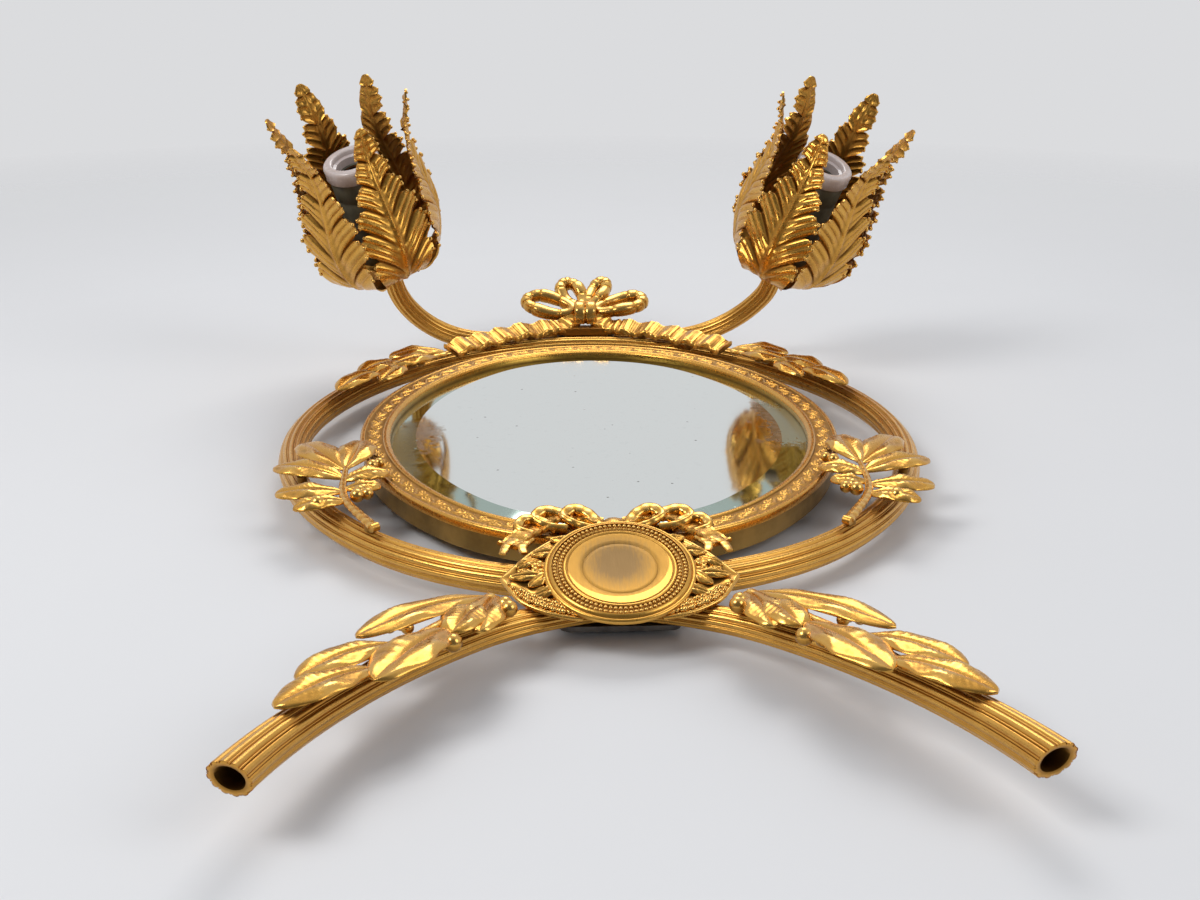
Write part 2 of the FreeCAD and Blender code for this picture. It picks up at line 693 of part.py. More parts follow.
def ribbon_strip(points, width, thickness, z):
    """Flat strip along a few points, lying at one height."""
    solids = []
    for a, b in zip(points, points[1:]):
        ahead = Vector(b[0] - a[0], b[1] - a[1], 0)
        side = Vector(-ahead.y, ahead.x, 0).normalize() * (width / 2)
        pa = Vector(a[0], a[1], z)
        pb = Vector(b[0], b[1], z)
        solids.append(polygon_face([pa + side, pa - side, pb - side, pb + side]).extrude(UP * thickness))
        solids.append(Part.makeCylinder(width / 2, thickness, pb))
    return fuse(solids)


def ribbon_tail():
    """Right tail of the bow, falling from the knot over the ring tube."""
    z = FRAME_TOP + SEAT
    strip = ribbon_strip([between(82.0, 1.12), between(75.0, 0.93), between(61.2, 0.57)], TAIL_W, TAIL_T, z)
    return fuse([strip] + ring_feet([between(78.0, 1.0)], 3.0, z))


def crest():
    """Ribbon scrolls over the frame's lower rim, each side of a shell knob."""
    z = FRAME_TOP + SEAT
    left = ribbon_strip([between(-91.2, -0.2), between(-96.1, -0.47), between(-101.0, -0.2),
                         between(-104.5, 0.44)], 7.0, 5.0, z)
    right = mirrored(left)
    middle = Vector(*between(-90.0, -0.16), z)
    knob = Part.makeSphere(KNOB_R, middle)
    knob = knob.common(Part.makeCylinder(2 * KNOB_R, 2 * KNOB_R, middle))
    return fuse([left, right, knob])


# ---- laurel sprays ----

def laurel_leaf(length, width):
    """Blunt leaf along +X: widest past its middle, crowned across its width."""
    base = Vector(0, 0, 0)
    tip = Vector(length, 0, 0)
    edges = []
    for start, along, end in ((base, 0.26, 0.60), (tip, 0.90, 0.60)):
        for hand in (1, -1):
            swell = Vector(length * end, hand * width / 2, 0)
            edges.append(Part.Arc(start, Vector(length * along, hand * width * 0.36, 0), swell).toShape())
    blade = Part.Face(Part.Wire(Part.__sortEdges__(edges))).extrude(UP * LEAF_T)
    crown_r = (width / 2) ** 2 / (2 * (LEAF_T * 0.7)) + LEAF_T * 0.35
    crown = Part.makeCylinder(crown_r, length + 2, Vector(-1, 0, LEAF_T - crown_r), Vector(1, 0, 0))
    return blade.common(crown)


def leaf_between(base, tip, width, z):
    """Leaf from its base to its tip, both plan points."""
    ahead = Vector(tip[0] - base[0], tip[1] - base[1], 0)
    leaf = laurel_leaf(ahead.Length, width)
    leaf.Placement = Placement(Vector(base[0], base[1], z), Rotation(Vector(1, 0, 0), ahead))
    return leaf


def berry(spot, z):
    x, y = spot
    ball = Part.makeSphere(BERRY_R, Vector(x, y, z + BERRY_R * 0.6))
    return ball.common(Part.makeBox(4 * BERRY_R, 4 * BERRY_R, 4 * BERRY_R,
                                    Vector(x - 2 * BERRY_R, y - 2 * BERRY_R, z)))


def ring_feet(spots, foot_r, z):
    """Short pillars under a branch, standing on the ring tube."""
    foot_z = RING_Z + RING_R + SEAT
    return [Part.makeCylinder(foot_r, z - foot_z + 1.0, Vector(x, y, foot_z)) for x, y in spots]


def side_spray():
    """Right-hand laurel branch: its cut stem on the ring, its leaves over the gap to the frame."""
    z = FRAME_TOP + SEAT
    leaves = [leaf_between(between(-39.7, 0.75), between(-34.7, 1.55), 15, z),
              leaf_between(between(-34.4, 0.5), between(-23.3, 1.32), 17, z),
              leaf_between(between(-30.5, 0.4), between(-11.6, 0.85), 17, z),
              leaf_between(between(-30.5, 0.4), between(-15.4, -0.02), 15, z),
              leaf_between(between(-35.8, 0.56), between(-37.7, -0.1), 13, z),
              leaf_between(between(-43.6, 0.82), between(-40.7, 1.55), 13, z)]
    stem = ribbon_strip([between(-53.9, 1.05), between(-47.1, 0.93), between(-39.9, 0.72),
                         between(-30.5, 0.4)], 5.0, 2.6, z)
    berries = [berry(between(-43.0, 0.69), z), berry(between(-30.1, 0.25), z), berry(between(-42.7, 1.3), z)]
    feet = ring_feet([between(-28.2, 1.0), between(-52.8, 1.0)], 2.4, z)
    return fuse(leaves + [stem] + berries + feet)


def top_spray():
    """Right-hand branch at the end of the bow's tail, over the gap between ring and frame."""
    z = FRAME_TOP + SEAT
    leaves = [leaf_between(between(56.7, 0.53), between(45.0, 1.05), 15, z),
              leaf_between(between(53.1, 0.39), between(39.3, 0.69), 15, z),
              leaf_between(between(45.0, 0.68), between(32.4, 0.89), 15, z),
              leaf_between(between(43.8, 0.51), between(31.5, 0.39), 13, z),
              leaf_between(between(36.9, 0.65), between(21.7, 0.83), 15, z)]
    stem = ribbon_strip([between(55.2, 0.48), between(45.0, 0.58), between(33.2, 0.65)], 4.6, 2.6, z)
    foot = ring_feet([between(47.1, 1.0)], 2.2, z)
    return fuse(leaves + [stem, berry(between(47.9, 0.45), z)] + foot)


def leg_spray():
    """Right-hand laurel branch lying along the leg, drawn in the leg's own plane."""
    z = leg_radius(path_length(LEG_PATH) * 0.8) + SEAT
    back = leg_place().inverse()

    def flat(x, y):
        spot = back.multVec(Vector(x, LEG_Y + y, LEG_Z))
        return spot.x, spot.y

    leaves = []
    for x0, y0, x1, y1, width in [(46, -5, 49, -41, 16), (52, -15, 58, -43, 16), (48, -7, 89, -46, 16),
                                  (60, -41, 79, -83, 20), (74, -53, 103, -81, 16), (80, -73, 106, -101, 17)]:
        leaves.append(leaf_between(flat(x0, y0), flat(x1, y1), width, z))
    stem = ribbon_strip([flat(46.0, -8.0), flat(62.0, -33.0), flat(84.0, -71.0)], 5.0, 2.2, z)
    berries = [berry(flat(x, y), z) for x, y in [(42, -18), (59, -54), (74, -37)]]
    foot_x, foot_y, _ = walk(LEG_PATH, 62.0)
    foot_z = leg_radius(62.0) + SEAT
    foot = Part.makeCylinder(2.6, z - foot_z + 1.0, Vector(foot_x, foot_y, foot_z))
    spray = fuse(leaves + [stem, foot] + berries)
    spray.Placement = leg_place()
    return spray


# ---- lights, drawn about +Z from the end of the arm ----

def light_place(path, hand):
    """Place of a light on its arm's end; hand is 1 for right, -1 for left."""
    x, y, heading = path_end(path)
    place = arm_place()
    base = place.multVec(Vector(x, y, 0))
    axis = place.Rotation.multVec(Rotation(UP, heading).multVec(Vector(1, 0, 0)))
    base.x *= hand
    axis.x *= hand
    return Placement(base, Rotation(UP, axis))


def petal_dish():
    """Turned seat on the arm's end that carries the petals and the holder."""
    hub = Part.makeCone(ARM_R, ARM_R + 1.6, HUB_H)
    dish = Part.makeCylinder(DISH_R, DISH_T, Vector(0, 0, HUB_H))
    spigot = Part.makeCylinder(ARM_BORE - FIT, SPIGOT_L, Vector(0, 0, -SPIGOT_L))
    wire_hole = Part.makeCylinder(2.2, 40.0, Vector(0, 0, -20.0))
    return fuse([hub, dish, spigot]).cut(wire_hole)


def petal_wall(inset):
    """Face of the petal's wall in the plane Y = 0: a belly, a neck and a flared tip."""
    z0 = HUB_H + DISH_T

    def side(depth):
        foot = Vector(BELLY_R * 0.232 - 0.8 * depth, 0, z0)
        belly_low = Vector(BELLY_R * 0.80 - 0.62 * depth, 0, z0 + PETAL_H * 0.093 + 0.78 * depth)
        belly = Vector(BELLY_R - depth, 0, z0 + PETAL_H * 0.30)
        waist = Vector(BELLY_R - 1.6 - depth, 0, z0 + PETAL_H * 0.47)
        neck = Vector(NECK_R - depth, 0, z0 + PETAL_H * 0.66)
        bend = Vector(NECK_R + 0.4 - depth, 0, z0 + PETAL_H * 0.82)
        tip = Vector(TIP_R - depth, 0, z0 + PETAL_H)
        return foot, belly_low, belly, waist, neck, bend, tip

    outer = side(inset)
    inner = side(inset + PETAL_T)
    edges = []
    for points in (outer, inner):
        for i in (0, 2, 4):
            edges.append(Part.Arc(points[i], points[i + 1], points[i + 2]).toShape())
    edges.append(Part.LineSegment(outer[0], inner[0]).toShape())
    edges.append(Part.LineSegment(outer[6], inner[6]).toShape())
    return Part.Face(Part.Wire(Part.__sortEdges__(edges)))


def petal_half_width(share):
    """Half width of the leaf at a share of its height, from the foot to the tip."""
    return 5.0 + (PETAL_HALF_W - 5.0) * math.sin(math.pi * min(share / 0.84, 1.0) ** 0.9) ** 0.8


def petal_outline():
    """Acanthus outline in the plane X = 0: rounded lobes with a notch between each two."""
    z0 = HUB_H + DISH_T
    points = [Vector(0, 4.6, z0 - 1)]
    first = 0.14
    step = (0.92 - first) / LOBES
    for i in range(LOBES):
        low = first + step * i
        high = low + step * 0.92
        reach = petal_half_width((low + high) / 2) + 1.2
        notch = petal_half_width(high) - 3.2 if i < LOBES - 1 else 2.4
        points.append(Vector(0, min(reach, petal_half_width(low) + 0.6), z0 + PETAL_H * (low + step * 0.35)))
        points.append(Vector(0, reach - 1.0, z0 + PETAL_H * high))
        points.append(Vector(0, max(notch, 2.2), z0 + PETAL_H * (high - step * 0.1)))
    tip = Vector(0, 0, z0 + PETAL_H + 1)
    right = points + [tip]
    left = [Vector(0, -p.y, p.z) for p in reversed(points)]
    return polygon_face(right + left)


def petal(index):
    """One acanthus petal; every second petal stands inside its neighbours."""
    inset = PETAL_LAYER * (index % 2)
    wall = petal_wall(inset).revolve(Vector(0, 0, 0), UP, 80)
    wall.rotate(Vector(0, 0, 0), UP, -40)
    leaf = wall.common(petal_outline().extrude(Vector(2 * BELLY_R, 0, 0)))
    leaf.rotate(Vector(0, 0, 0), UP, 360.0 * index / PETALS)
    return leaf


def contact_z():
    """Floor of the well that the centre contact stands in, below the screw shell."""
    return HOLDER_TOP - SHELL_L - CONTACT_WELL_L


def lampholder():
    """Holder body on the dish: a narrow neck under a straight barrel, bored for the screw shell."""
    z0 = HUB_H + DISH_T
    neck = Part.makeCylinder(5.0, 8.0, Vector(0, 0, z0))
    shoulder = Part.makeCone(5.0, HOLDER_R, 5.0, Vector(0, 0, z0 + 8.0))
    barrel = Part.makeCylinder(HOLDER_R, HOLDER_TOP - z0 - 13.0, Vector(0, 0, z0 + 13.0))
    body = fuse([neck, shoulder, barrel])
    bore = Part.makeCylinder(SHELL_R + SHELL_T + FIT, SHELL_L + 1, Vector(0, 0, HOLDER_TOP - SHELL_L))
    well = Part.makeCylinder(CONTACT_WELL_R, CONTACT_WELL_L + 1, Vector(0, 0, contact_z()))
    contact = Part.makeCylinder(CONTACT_R + FIT, 5.0, Vector(0, 0, contact_z() - 4.0))
    wire_hole = Part.makeCylinder(2.2, 24.0, Vector(0, 0, z0 - 1.0))
    return body.cut(bore).cut(well).cut(contact).cut(wire_hole)


def porcelain_ring():
    ring = Part.makeCylinder(PORCELAIN_R, PORCELAIN_H, Vector(0, 0, HOLDER_TOP))
    ring = ring.makeFillet(1.5, [ring.Edges[0]])
    return ring.cut(Part.makeCylinder(PORCELAIN_BORE, 2 * PORCELAIN_H, Vector(0, 0, HOLDER_TOP - 1)))


def screw_shell():
    shell = Part.makeCylinder(SHELL_R + SHELL_T, SHELL_L, Vector(0, 0, HOLDER_TOP - SHELL_L))
    return shell.cut(Part.makeCylinder(SHELL_R, SHELL_L + 2, Vector(0, 0, HOLDER_TOP - SHELL_L - 1)))


def centre_contact():
    pin = Part.makeCylinder(CONTACT_R, 4.0, Vector(0, 0, contact_z() - 4.0))
    return fuse([pin, Part.makeCone(CONTACT_R, 1.2, CONTACT_H, Vector(0, 0, contact_z()))])


def save_light(side, place):
    pieces = {"petal_dish": petal_dish(), "lampholder": lampholder(), "porcelain_ring": porcelain_ring(),
              "screw_shell": screw_shell(), "centre_contact": centre_contact()}
    for i in range(PETALS):
        pieces["petal_%d" % (i + 1)] = petal(i)
    for name, shape in pieces.items():
        shape.Placement = place.multiply(shape.Placement)
        save(side + "_" + name, shape)


def save_pair(name, right):
    """Write a right-hand piece and its left-hand twin."""
    save("right_" + name, right)
    save("left_" + name, mirrored(right))


def main():
    os.makedirs("parts", exist_ok=True)
    save_pair("ring_tube", ring_half())
    save_pair("leg_tube", leg_half())
    save("right_arm_tube", arm_half(RIGHT_ARM_PATH))
    save("left_arm_tube", mirrored(arm_half(LEFT_ARM_PATH)))
    save("frame_rim", front_rim())
    save("frame_side_band", side_band())
    save("frame_back_flange", back_flange())
    save("mirror_glass", mirror_glass())
    save("backing_board", backing_board())
    for i, (x, y, inward) in enumerate(button_places()):
        save("turn_button_%d" % (i + 1), turn_button(x, y, inward))
    save("turn_button_screws", button_screws())
    save("low_clamp", low_clamp())
    save("top_clamp", top_clamp())
    save("hanging_bail", hanging_bail())
    save("clamp_studs", clamp_studs())
    save("clamp_nuts", clamp_nuts())
    save("medallion_saddle", medallion_saddle())
    save("medallion_disc", medallion_disc())
    save("medallion_wings", medallion_wings())
    save("ribbon_crest", crest())
    save("ribbon_bow", bow())
    save_pair("ribbon_tail", ribbon_tail())
    save_pair("top_spray", top_spray())
    save_pair("side_spray", side_spray())
    save_pair("leg_spray", leg_spray())
    save_light("right", light_place(RIGHT_ARM_PATH, 1))
    save_light("left", light_place(LEFT_ARM_PATH, -1))


main()
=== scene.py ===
import math

import bpy
import numpy as np
from mathutils import Matrix, Vector


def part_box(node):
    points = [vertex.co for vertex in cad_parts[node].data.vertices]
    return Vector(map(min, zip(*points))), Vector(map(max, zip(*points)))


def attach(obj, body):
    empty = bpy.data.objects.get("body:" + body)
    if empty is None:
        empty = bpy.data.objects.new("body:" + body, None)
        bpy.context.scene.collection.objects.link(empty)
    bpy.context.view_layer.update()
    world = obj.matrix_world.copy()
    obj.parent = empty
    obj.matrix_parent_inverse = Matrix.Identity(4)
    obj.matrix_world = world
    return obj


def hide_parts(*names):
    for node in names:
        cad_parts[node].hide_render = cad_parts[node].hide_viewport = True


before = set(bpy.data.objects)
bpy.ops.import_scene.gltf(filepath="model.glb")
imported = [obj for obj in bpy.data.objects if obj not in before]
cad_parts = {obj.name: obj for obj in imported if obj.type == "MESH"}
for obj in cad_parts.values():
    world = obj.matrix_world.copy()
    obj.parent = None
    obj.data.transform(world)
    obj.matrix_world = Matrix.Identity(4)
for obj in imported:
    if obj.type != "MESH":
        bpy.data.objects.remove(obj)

bl_info = {
    "name": "Girandole Mirror",
    "version": (1, 0, 0),
    "blender": (4, 5, 0),
    "location": "View3D > Sidebar > Girandole",
    "description": "Dresses the girandole mirror's frame with cast, chased and turned pieces",
    "category": "Object",
}

# Lengths are in millimetres and angles in degrees until a mesh is made, in the frame of the CAD
# part: the origin is behind the middle of the mirror, +Y points to the bow, +Z out of the mirror.
MM = 0.001
MAIN_BODY = "mirror"
GILT = "gilt_bronze"


def node_box(node):
    """Lowest and highest corner of a CAD node in millimetres."""
    low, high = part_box(node)
    return np.array(low) / MM, np.array(high) / MM


FLOOR_Z = node_box("clamp_nuts")[0][2]    # the rest plane, from which the sizes below are drawn up
RING_Z = sum(corner[2] for corner in node_box("right_ring_tube")) / 2
FRAME_TOP = node_box("frame_rim")[1][2]

SEAT = 0.15                          # play between an ornament and the tube or rim under it
RING_PATH = (144.0, 168.0, 39.34)    # centre line of the ring: half width, half height, end centres
RING_R = 6.0
FRAME_PATH = (112.5, 143.0, 50.0)    # the same of the frame's outer edge
RIM_W = 14.0
RIM_EDGE_T = 3.6
LIP_W = 2.5
BEVEL_W = 14.0
LEG_PATH = [("arc", 42.0, -18.5), ("arc", 98.0, -26.5), ("arc", 244.0, -29.5)]
LEG_ORIGIN = (0.0, -185.0, 9.6 + FLOOR_Z)
LEG_RISE = 6.0
LEG_R0, LEG_R1 = 4.4, 6.8            # radius at the medallion and at the mouth
LEG_MOUTH_R, LEG_MOUTH_L, LEG_BORE = 4.1, 14.0, 2.7
LEG_CUT = 24.0
ARM_R = 5.6
ARM_ORIGIN = (0.0, 185.0, 10.8 + FLOOR_Z)
ARM_LEAN = 23.0
ARM_PATHS = {
    "left": [("line", 57.0), ("arc", 56.0, 60.0), ("arc", 44.0, 18.0), ("line", 6.0)],
    "right": [("line", 44.0), ("arc", 73.0, 55.0), ("arc", 24.0, 19.0), ("line", 6.0)],
}
DISC_PLACE = (0.0, -182.0, 22.6 + FLOOR_Z)
DISC_TILT = 17.0


# ---- user's sizes and colours ----

def size_property(label, text, value, low, high):
    return bpy.props.FloatProperty(
        name=label, description=text + ", in millimetres", default=value, min=low, max=high)


def colour_property(label, text, value):
    return bpy.props.FloatVectorProperty(
        name=label, description=text, default=value, size=3, min=0.0, max=1.0, subtype="COLOR")


class GirandoleSizes(bpy.types.PropertyGroup):
    """Sizes of the chased and cast detail."""
    reeds: bpy.props.IntProperty(
        name="Reeds", description="Broad reeds round each tube", default=12, min=6, max=24)
    reed_depth: size_property("Reed depth", "Depth of the grooves between the reeds", 0.7, 0.1, 1.5)
    bead_size: size_property("Bead radius", "Radius of the medallion's beads", 0.78, 0.3, 1.2)
    petal_relief: size_property("Petal relief", "Height of the petals' chasing", 1.1, 0.2, 2.5)
    rim_relief: size_property("Rim relief", "Height of the scrolls on the frame", 0.75, 0.1, 1.5)
    camera_focal: bpy.props.FloatProperty(
        name="Focal length", description="Focal length of the photograph's view",
        default=43.52, min=20.0, max=120.0, subtype="DISTANCE_CAMERA")


class GirandoleColours(bpy.types.PropertyGroup):
    """Colours of the metals, the glass, the porcelain and the stage."""
    gold: colour_property("Gilding", "Gilt surface of the castings", (0.70, 0.37, 0.072))
    # burnished gilding, which is also a painted highlight on crowns and upper sides
    gold_burnish_and_highlight: colour_property("Burnished gilding", "Rubbed edges and crowns", (0.92, 0.61, 0.20))
    # brown patina, which is also painted shade in recesses, creases, undersides and lower halves
    patina_and_shade: colour_property("Patina", "Brown patina in the hollows", (0.17, 0.080, 0.018))
    band: colour_property("Sheet brass", "Duller brass of the frame's side", (0.40, 0.25, 0.075))
    silvering: colour_property("Silvering", "Old silvering behind the glass", (0.84, 0.87, 0.85))
    # the bevel colour is the green tint of the glass plus a painted dark reflection
    bevel: colour_property("Bevel", "Ground bevel of the glass", (0.42, 0.52, 0.46))
    tarnish: colour_property("Tarnish", "Brown tarnish of the silvering", (0.26, 0.165, 0.06))
    porcelain: colour_property("Porcelain", "Glazed rings of the lampholders", (0.62, 0.54, 0.52))
    holder: colour_property("Holder", "Dull paint of the lampholders", (0.13, 0.125, 0.085))
    shell: colour_property("Screw shell", "Browned thread in the lampholders", (0.16, 0.07, 0.035))
    board: colour_property("Board", "Stained backing board", (0.13, 0.070, 0.032))
    steel: colour_property("Steel", "Darkened steel behind the mirror", (0.17, 0.155, 0.14))
    floor: colour_property("Floor", "Pale floor under the mirror", (0.74, 0.74, 0.75))


# ---- shader expressions ----

class Value:
    """A number that changes over a surface, so that finishes read as plain arithmetic."""

    def __init__(self, shading, socket):
        self.shading = shading
        self.socket = socket

    def __add__(self, other):
        return self.shading.math("ADD", self, other)

    def __radd__(self, other):
        return self.shading.math("ADD", other, self)

    def __sub__(self, other):
        return self.shading.math("SUBTRACT", self, other)

    def __mul__(self, other):
        return self.shading.math("MULTIPLY", self, other)

    def __rmul__(self, other):
        return self.shading.math("MULTIPLY", other, self)

    def __truediv__(self, other):
        return self.shading.math("DIVIDE", self, other)


class Shading:
    """The node tree of a material or a world, built from values."""

    def __init__(self, owner):
        owner.use_nodes = True
        self.tree = owner.node_tree
        self.tree.nodes.clear()

    def node(self, kind, inputs=(), **settings):
        """Add a node; settings are set first, then each input gets a value or a link."""
        made = self.tree.nodes.new(kind)
        for name, value in settings.items():
            setattr(made, name, value)
        for name, value in dict(inputs).items():
            self.feed(made.inputs[name], value)
        return made

    def feed(self, socket, value):
        if isinstance(value, Value):
            value = value.socket
        if isinstance(value, bpy.types.NodeSocket):
            self.tree.links.new(value, socket)
        elif hasattr(value, "__len__") and len(value) == 3 and socket.type == "RGBA":
            socket.default_value = (*value, 1.0)
        else:
            socket.default_value = value

    def math(self, operation, *terms):
        node = self.node("ShaderNodeMath", enumerate(terms), operation=operation)
        return Value(self, node.outputs[0])


class Finish(Shading):
    """A procedural finish: one Principled shader and the nodes that vary it."""

    def __init__(self, name, **constants):
        self.material = bpy.data.materials.new(name)
        super().__init__(self.material)
        self.shader = self.node("ShaderNodeBsdfPrincipled")
        self.node("ShaderNodeOutputMaterial", {0: self.shader.outputs[0]})
        for socket, value in constants.items():
            self.shader.inputs[socket.replace("_", " ")].default_value = value
        self.place = self.node("ShaderNodeTexCoord").outputs["Object"]

    def noise(self, size, detail=3.0, stretch=None):
        """Noise with features of about this many millimetres."""
        place = self.place
        if stretch is not None:
            place = self.node("ShaderNodeVectorMath", {0: place, 1: stretch},
                              operation="MULTIPLY").outputs[0]
        node = self.node("ShaderNodeTexNoise", {
            "Vector": place, "Scale": 1000.0 / size, "Detail": detail, "Roughness": 0.55})
        return Value(self, node.outputs["Fac"])

    def specks(self, size):
        """Distance from the nearest of scattered points, for spots and pinholes."""
        node = self.node("ShaderNodeTexVoronoi", {"Vector": self.place, "Scale": 1000.0 / size})
        return Value(self, node.outputs["Distance"])

    def axis(self, name):
        """One coordinate in millimetres."""
        node = self.node("ShaderNodeSeparateXYZ", {0: self.place})
        return Value(self, node.outputs[name]) * 1000.0

    def steps(self, value, *stops):
        """A ramp between two (value, level) stops, flat outside them."""
        node = self.node("ShaderNodeValToRGB", {"Fac": value})
        for element, (position, level) in zip(node.color_ramp.elements, stops):
            element.position = position
            element.color = (level, level, level, 1.0)
        return Value(self, self.node("ShaderNodeRGBToBW", {0: node.outputs["Color"]}).outputs[0])

    def relief(self):
        """How high a point stands in its casting, from 0 in a recess to 1 on a crown; undersides,
        lower halves and bores are also set low and upper sides high, as painted shade and
        highlight.
        """
        node = self.node("ShaderNodeAttribute", attribute_name="relief")
        return Value(self, node.outputs["Fac"])

    def mix(self, share, first, second):
        """Colour between two colours."""
        inputs = {0: share, 6: first, 7: second}    # the colour sockets of a node that has others
        return self.node("ShaderNodeMix", inputs, data_type="RGBA").outputs[2]

    def surface(self, colour, roughness, bump=None, height_mm=0.1, alpha=None):
        if bump is not None:
            bump = self.node("ShaderNodeBump", {
                "Strength": 1.0, "Distance": height_mm * MM, "Height": bump}).outputs[0]
        for name, value in (("Base Color", colour), ("Roughness", roughness), ("Normal", bump),
                            ("Alpha", alpha)):
            if value is not None:
                self.feed(self.shader.inputs[name], value)
        return self.material


def shaded(colour, *shares):
    """A colour times one share, or times a share for each channel."""
    return tuple(c * k for c, k in zip(colour, shares if len(shares) == 3 else shares * 3))


def gilt_finish(name, colours, wear=0.5, dull=0.0):
    """Gilt bronze: burnished crowns with painted highlights, brown patina with painted shade in the
    recesses and undersides, fine cast grain.
    """
    f = Finish(name, Metallic=1.0)
    relief = f.relief()
    clouds = f.noise(9.0, 4.0)
    grain = f.noise(0.9, 3.0)
    scratches = f.noise(1.6, 2.0, stretch=(1.0, 0.25, 1.0))
    # low relief takes the patina colour, which is also painted shade; high relief takes the
    # burnished colour, which is also a painted highlight
    oxide_and_shade_mask = f.steps(relief + (clouds - 0.5) * 0.35, (0.08, 1.0), (0.46, 0.0))
    crown = f.steps(relief + (grain - 0.5) * 0.25, (0.62, 0.0), (0.98, 1.0))
    warm = f.mix(f.steps(clouds, (0.35, 0.0), (0.68, 0.55 + dull * 0.3)), colours.gold,
                 shaded(colours.gold, 0.80, 0.72, 0.70))
    burnish_and_highlight = f.mix(crown * wear, warm, colours.gold_burnish_and_highlight)
    colour = f.mix(oxide_and_shade_mask * 0.85, burnish_and_highlight, colours.patina_and_shade)
    rough = 0.27 + dull * 0.16 + oxide_and_shade_mask * 0.25 + (scratches - 0.5) * 0.16 - crown * 0.06
    return f.surface(colour, rough, grain * 0.6 + scratches * 0.4, 0.05)


def band_finish(name, colours):
    """Dull sheet brass, with stains and the streaks that its rolling left."""
    f = Finish(name, Metallic=1.0)
    streaks = f.noise(5.0, 4.0, stretch=(0.3, 0.3, 3.0))
    stains = f.noise(16.0, 5.0)
    dots = f.steps(f.specks(6.0), (0.03, 1.0), (0.10, 0.0))
    stained = f.steps(stains, (0.38, 0.0), (0.66, 0.8))
    colour = f.mix(stained, colours.band, shaded(colours.band, 0.48))
    colour = f.mix(dots * 0.5, colour, colours.patina_and_shade)
    return f.surface(colour, 0.36 + streaks * 0.2, streaks, 0.04)


def glass_finish(name, colours):
    """Old silvering: pinholes, brown clouds at both sides and a greenish ground bevel, painted
    darker as a reflection.
    """
    f = Finish(name, Metallic=1.0)
    bevel = f.relief()
    x, y = f.axis("X"), f.axis("Y")
    clouds = f.noise(14.0, 6.0)
    fine = f.noise(3.5, 5.0)
    side = f.math("ABSOLUTE", x)
    ragged = clouds * 0.6 + fine * 0.4 - 0.5
    sweep = f.steps(side / 100.0 + ragged * 0.55, (0.76, 0.0), (0.82, 1.0))
    away = f.math("ABSOLUTE", y + 12.0 - x * 0.20)
    span = f.steps(away / 80.0 + ragged * 0.8, (0.36, 1.0), (0.52, 0.0))
    patch = sweep * span * (0.55 + 0.45 * f.steps(x / 200.0 + 0.5, (0.35, 0.25), (0.65, 1.0)))
    pinholes = f.steps(f.specks(11.0) + (fine - 0.5) * 0.02, (0.035, 1.0), (0.065, 0.0))
    pinholes = pinholes * f.steps(clouds, (0.42, 0.0), (0.55, 1.0))
    foxing = f.steps(fine, (0.60, 0.0), (0.78, 0.35))
    silver = f.mix(foxing, colours.silvering, shaded(colours.silvering, 0.82))
    silver = f.mix(patch * (0.45 + fine * 0.9), silver, colours.tarnish)
    silver = f.mix(pinholes * 0.85, silver, (0.05, 0.045, 0.04))
    # the bevel gets the glass's green tint and a painted dark reflection
    colour = f.mix(bevel, silver, colours.bevel)
    return f.surface(colour, 0.07 + patch * 0.25 + pinholes * 0.3)


def plain_finish(name, colour, roughness, metallic, size, depth, height=0.05, **constants):
    """A finish whose colour and gloss drift with noise of one size."""
    f = Finish(name, Metallic=metallic, **constants)
    clouds = f.noise(size, 5.0)
    fine = f.noise(size / 6.0, 3.0)
    tone = f.mix(f.steps(clouds, (0.35, 0.0), (0.70, 1.0)), colour, shaded(colour, 1.0 - depth))
    return f.surface(tone, roughness + (fine - 0.5) * 0.22, fine, height)


def board_finish(name, colours):
    """Stained softwood with long grain along the mirror's height."""
    f = Finish(name, Metallic=0.0)
    grain = f.noise(7.0, 6.0, stretch=(1.0, 0.06, 1.0))
    pores = f.noise(1.2, 3.0, stretch=(1.0, 0.05, 1.0))
    light = f.steps(grain, (0.36, 0.0), (0.64, 1.0))
    colour = f.mix(light, colours.board, shaded(colours.board, 2.1))
    return f.surface(colour, 0.62 + pores * 0.2, grain * 0.6 + pores * 0.4, 0.12)


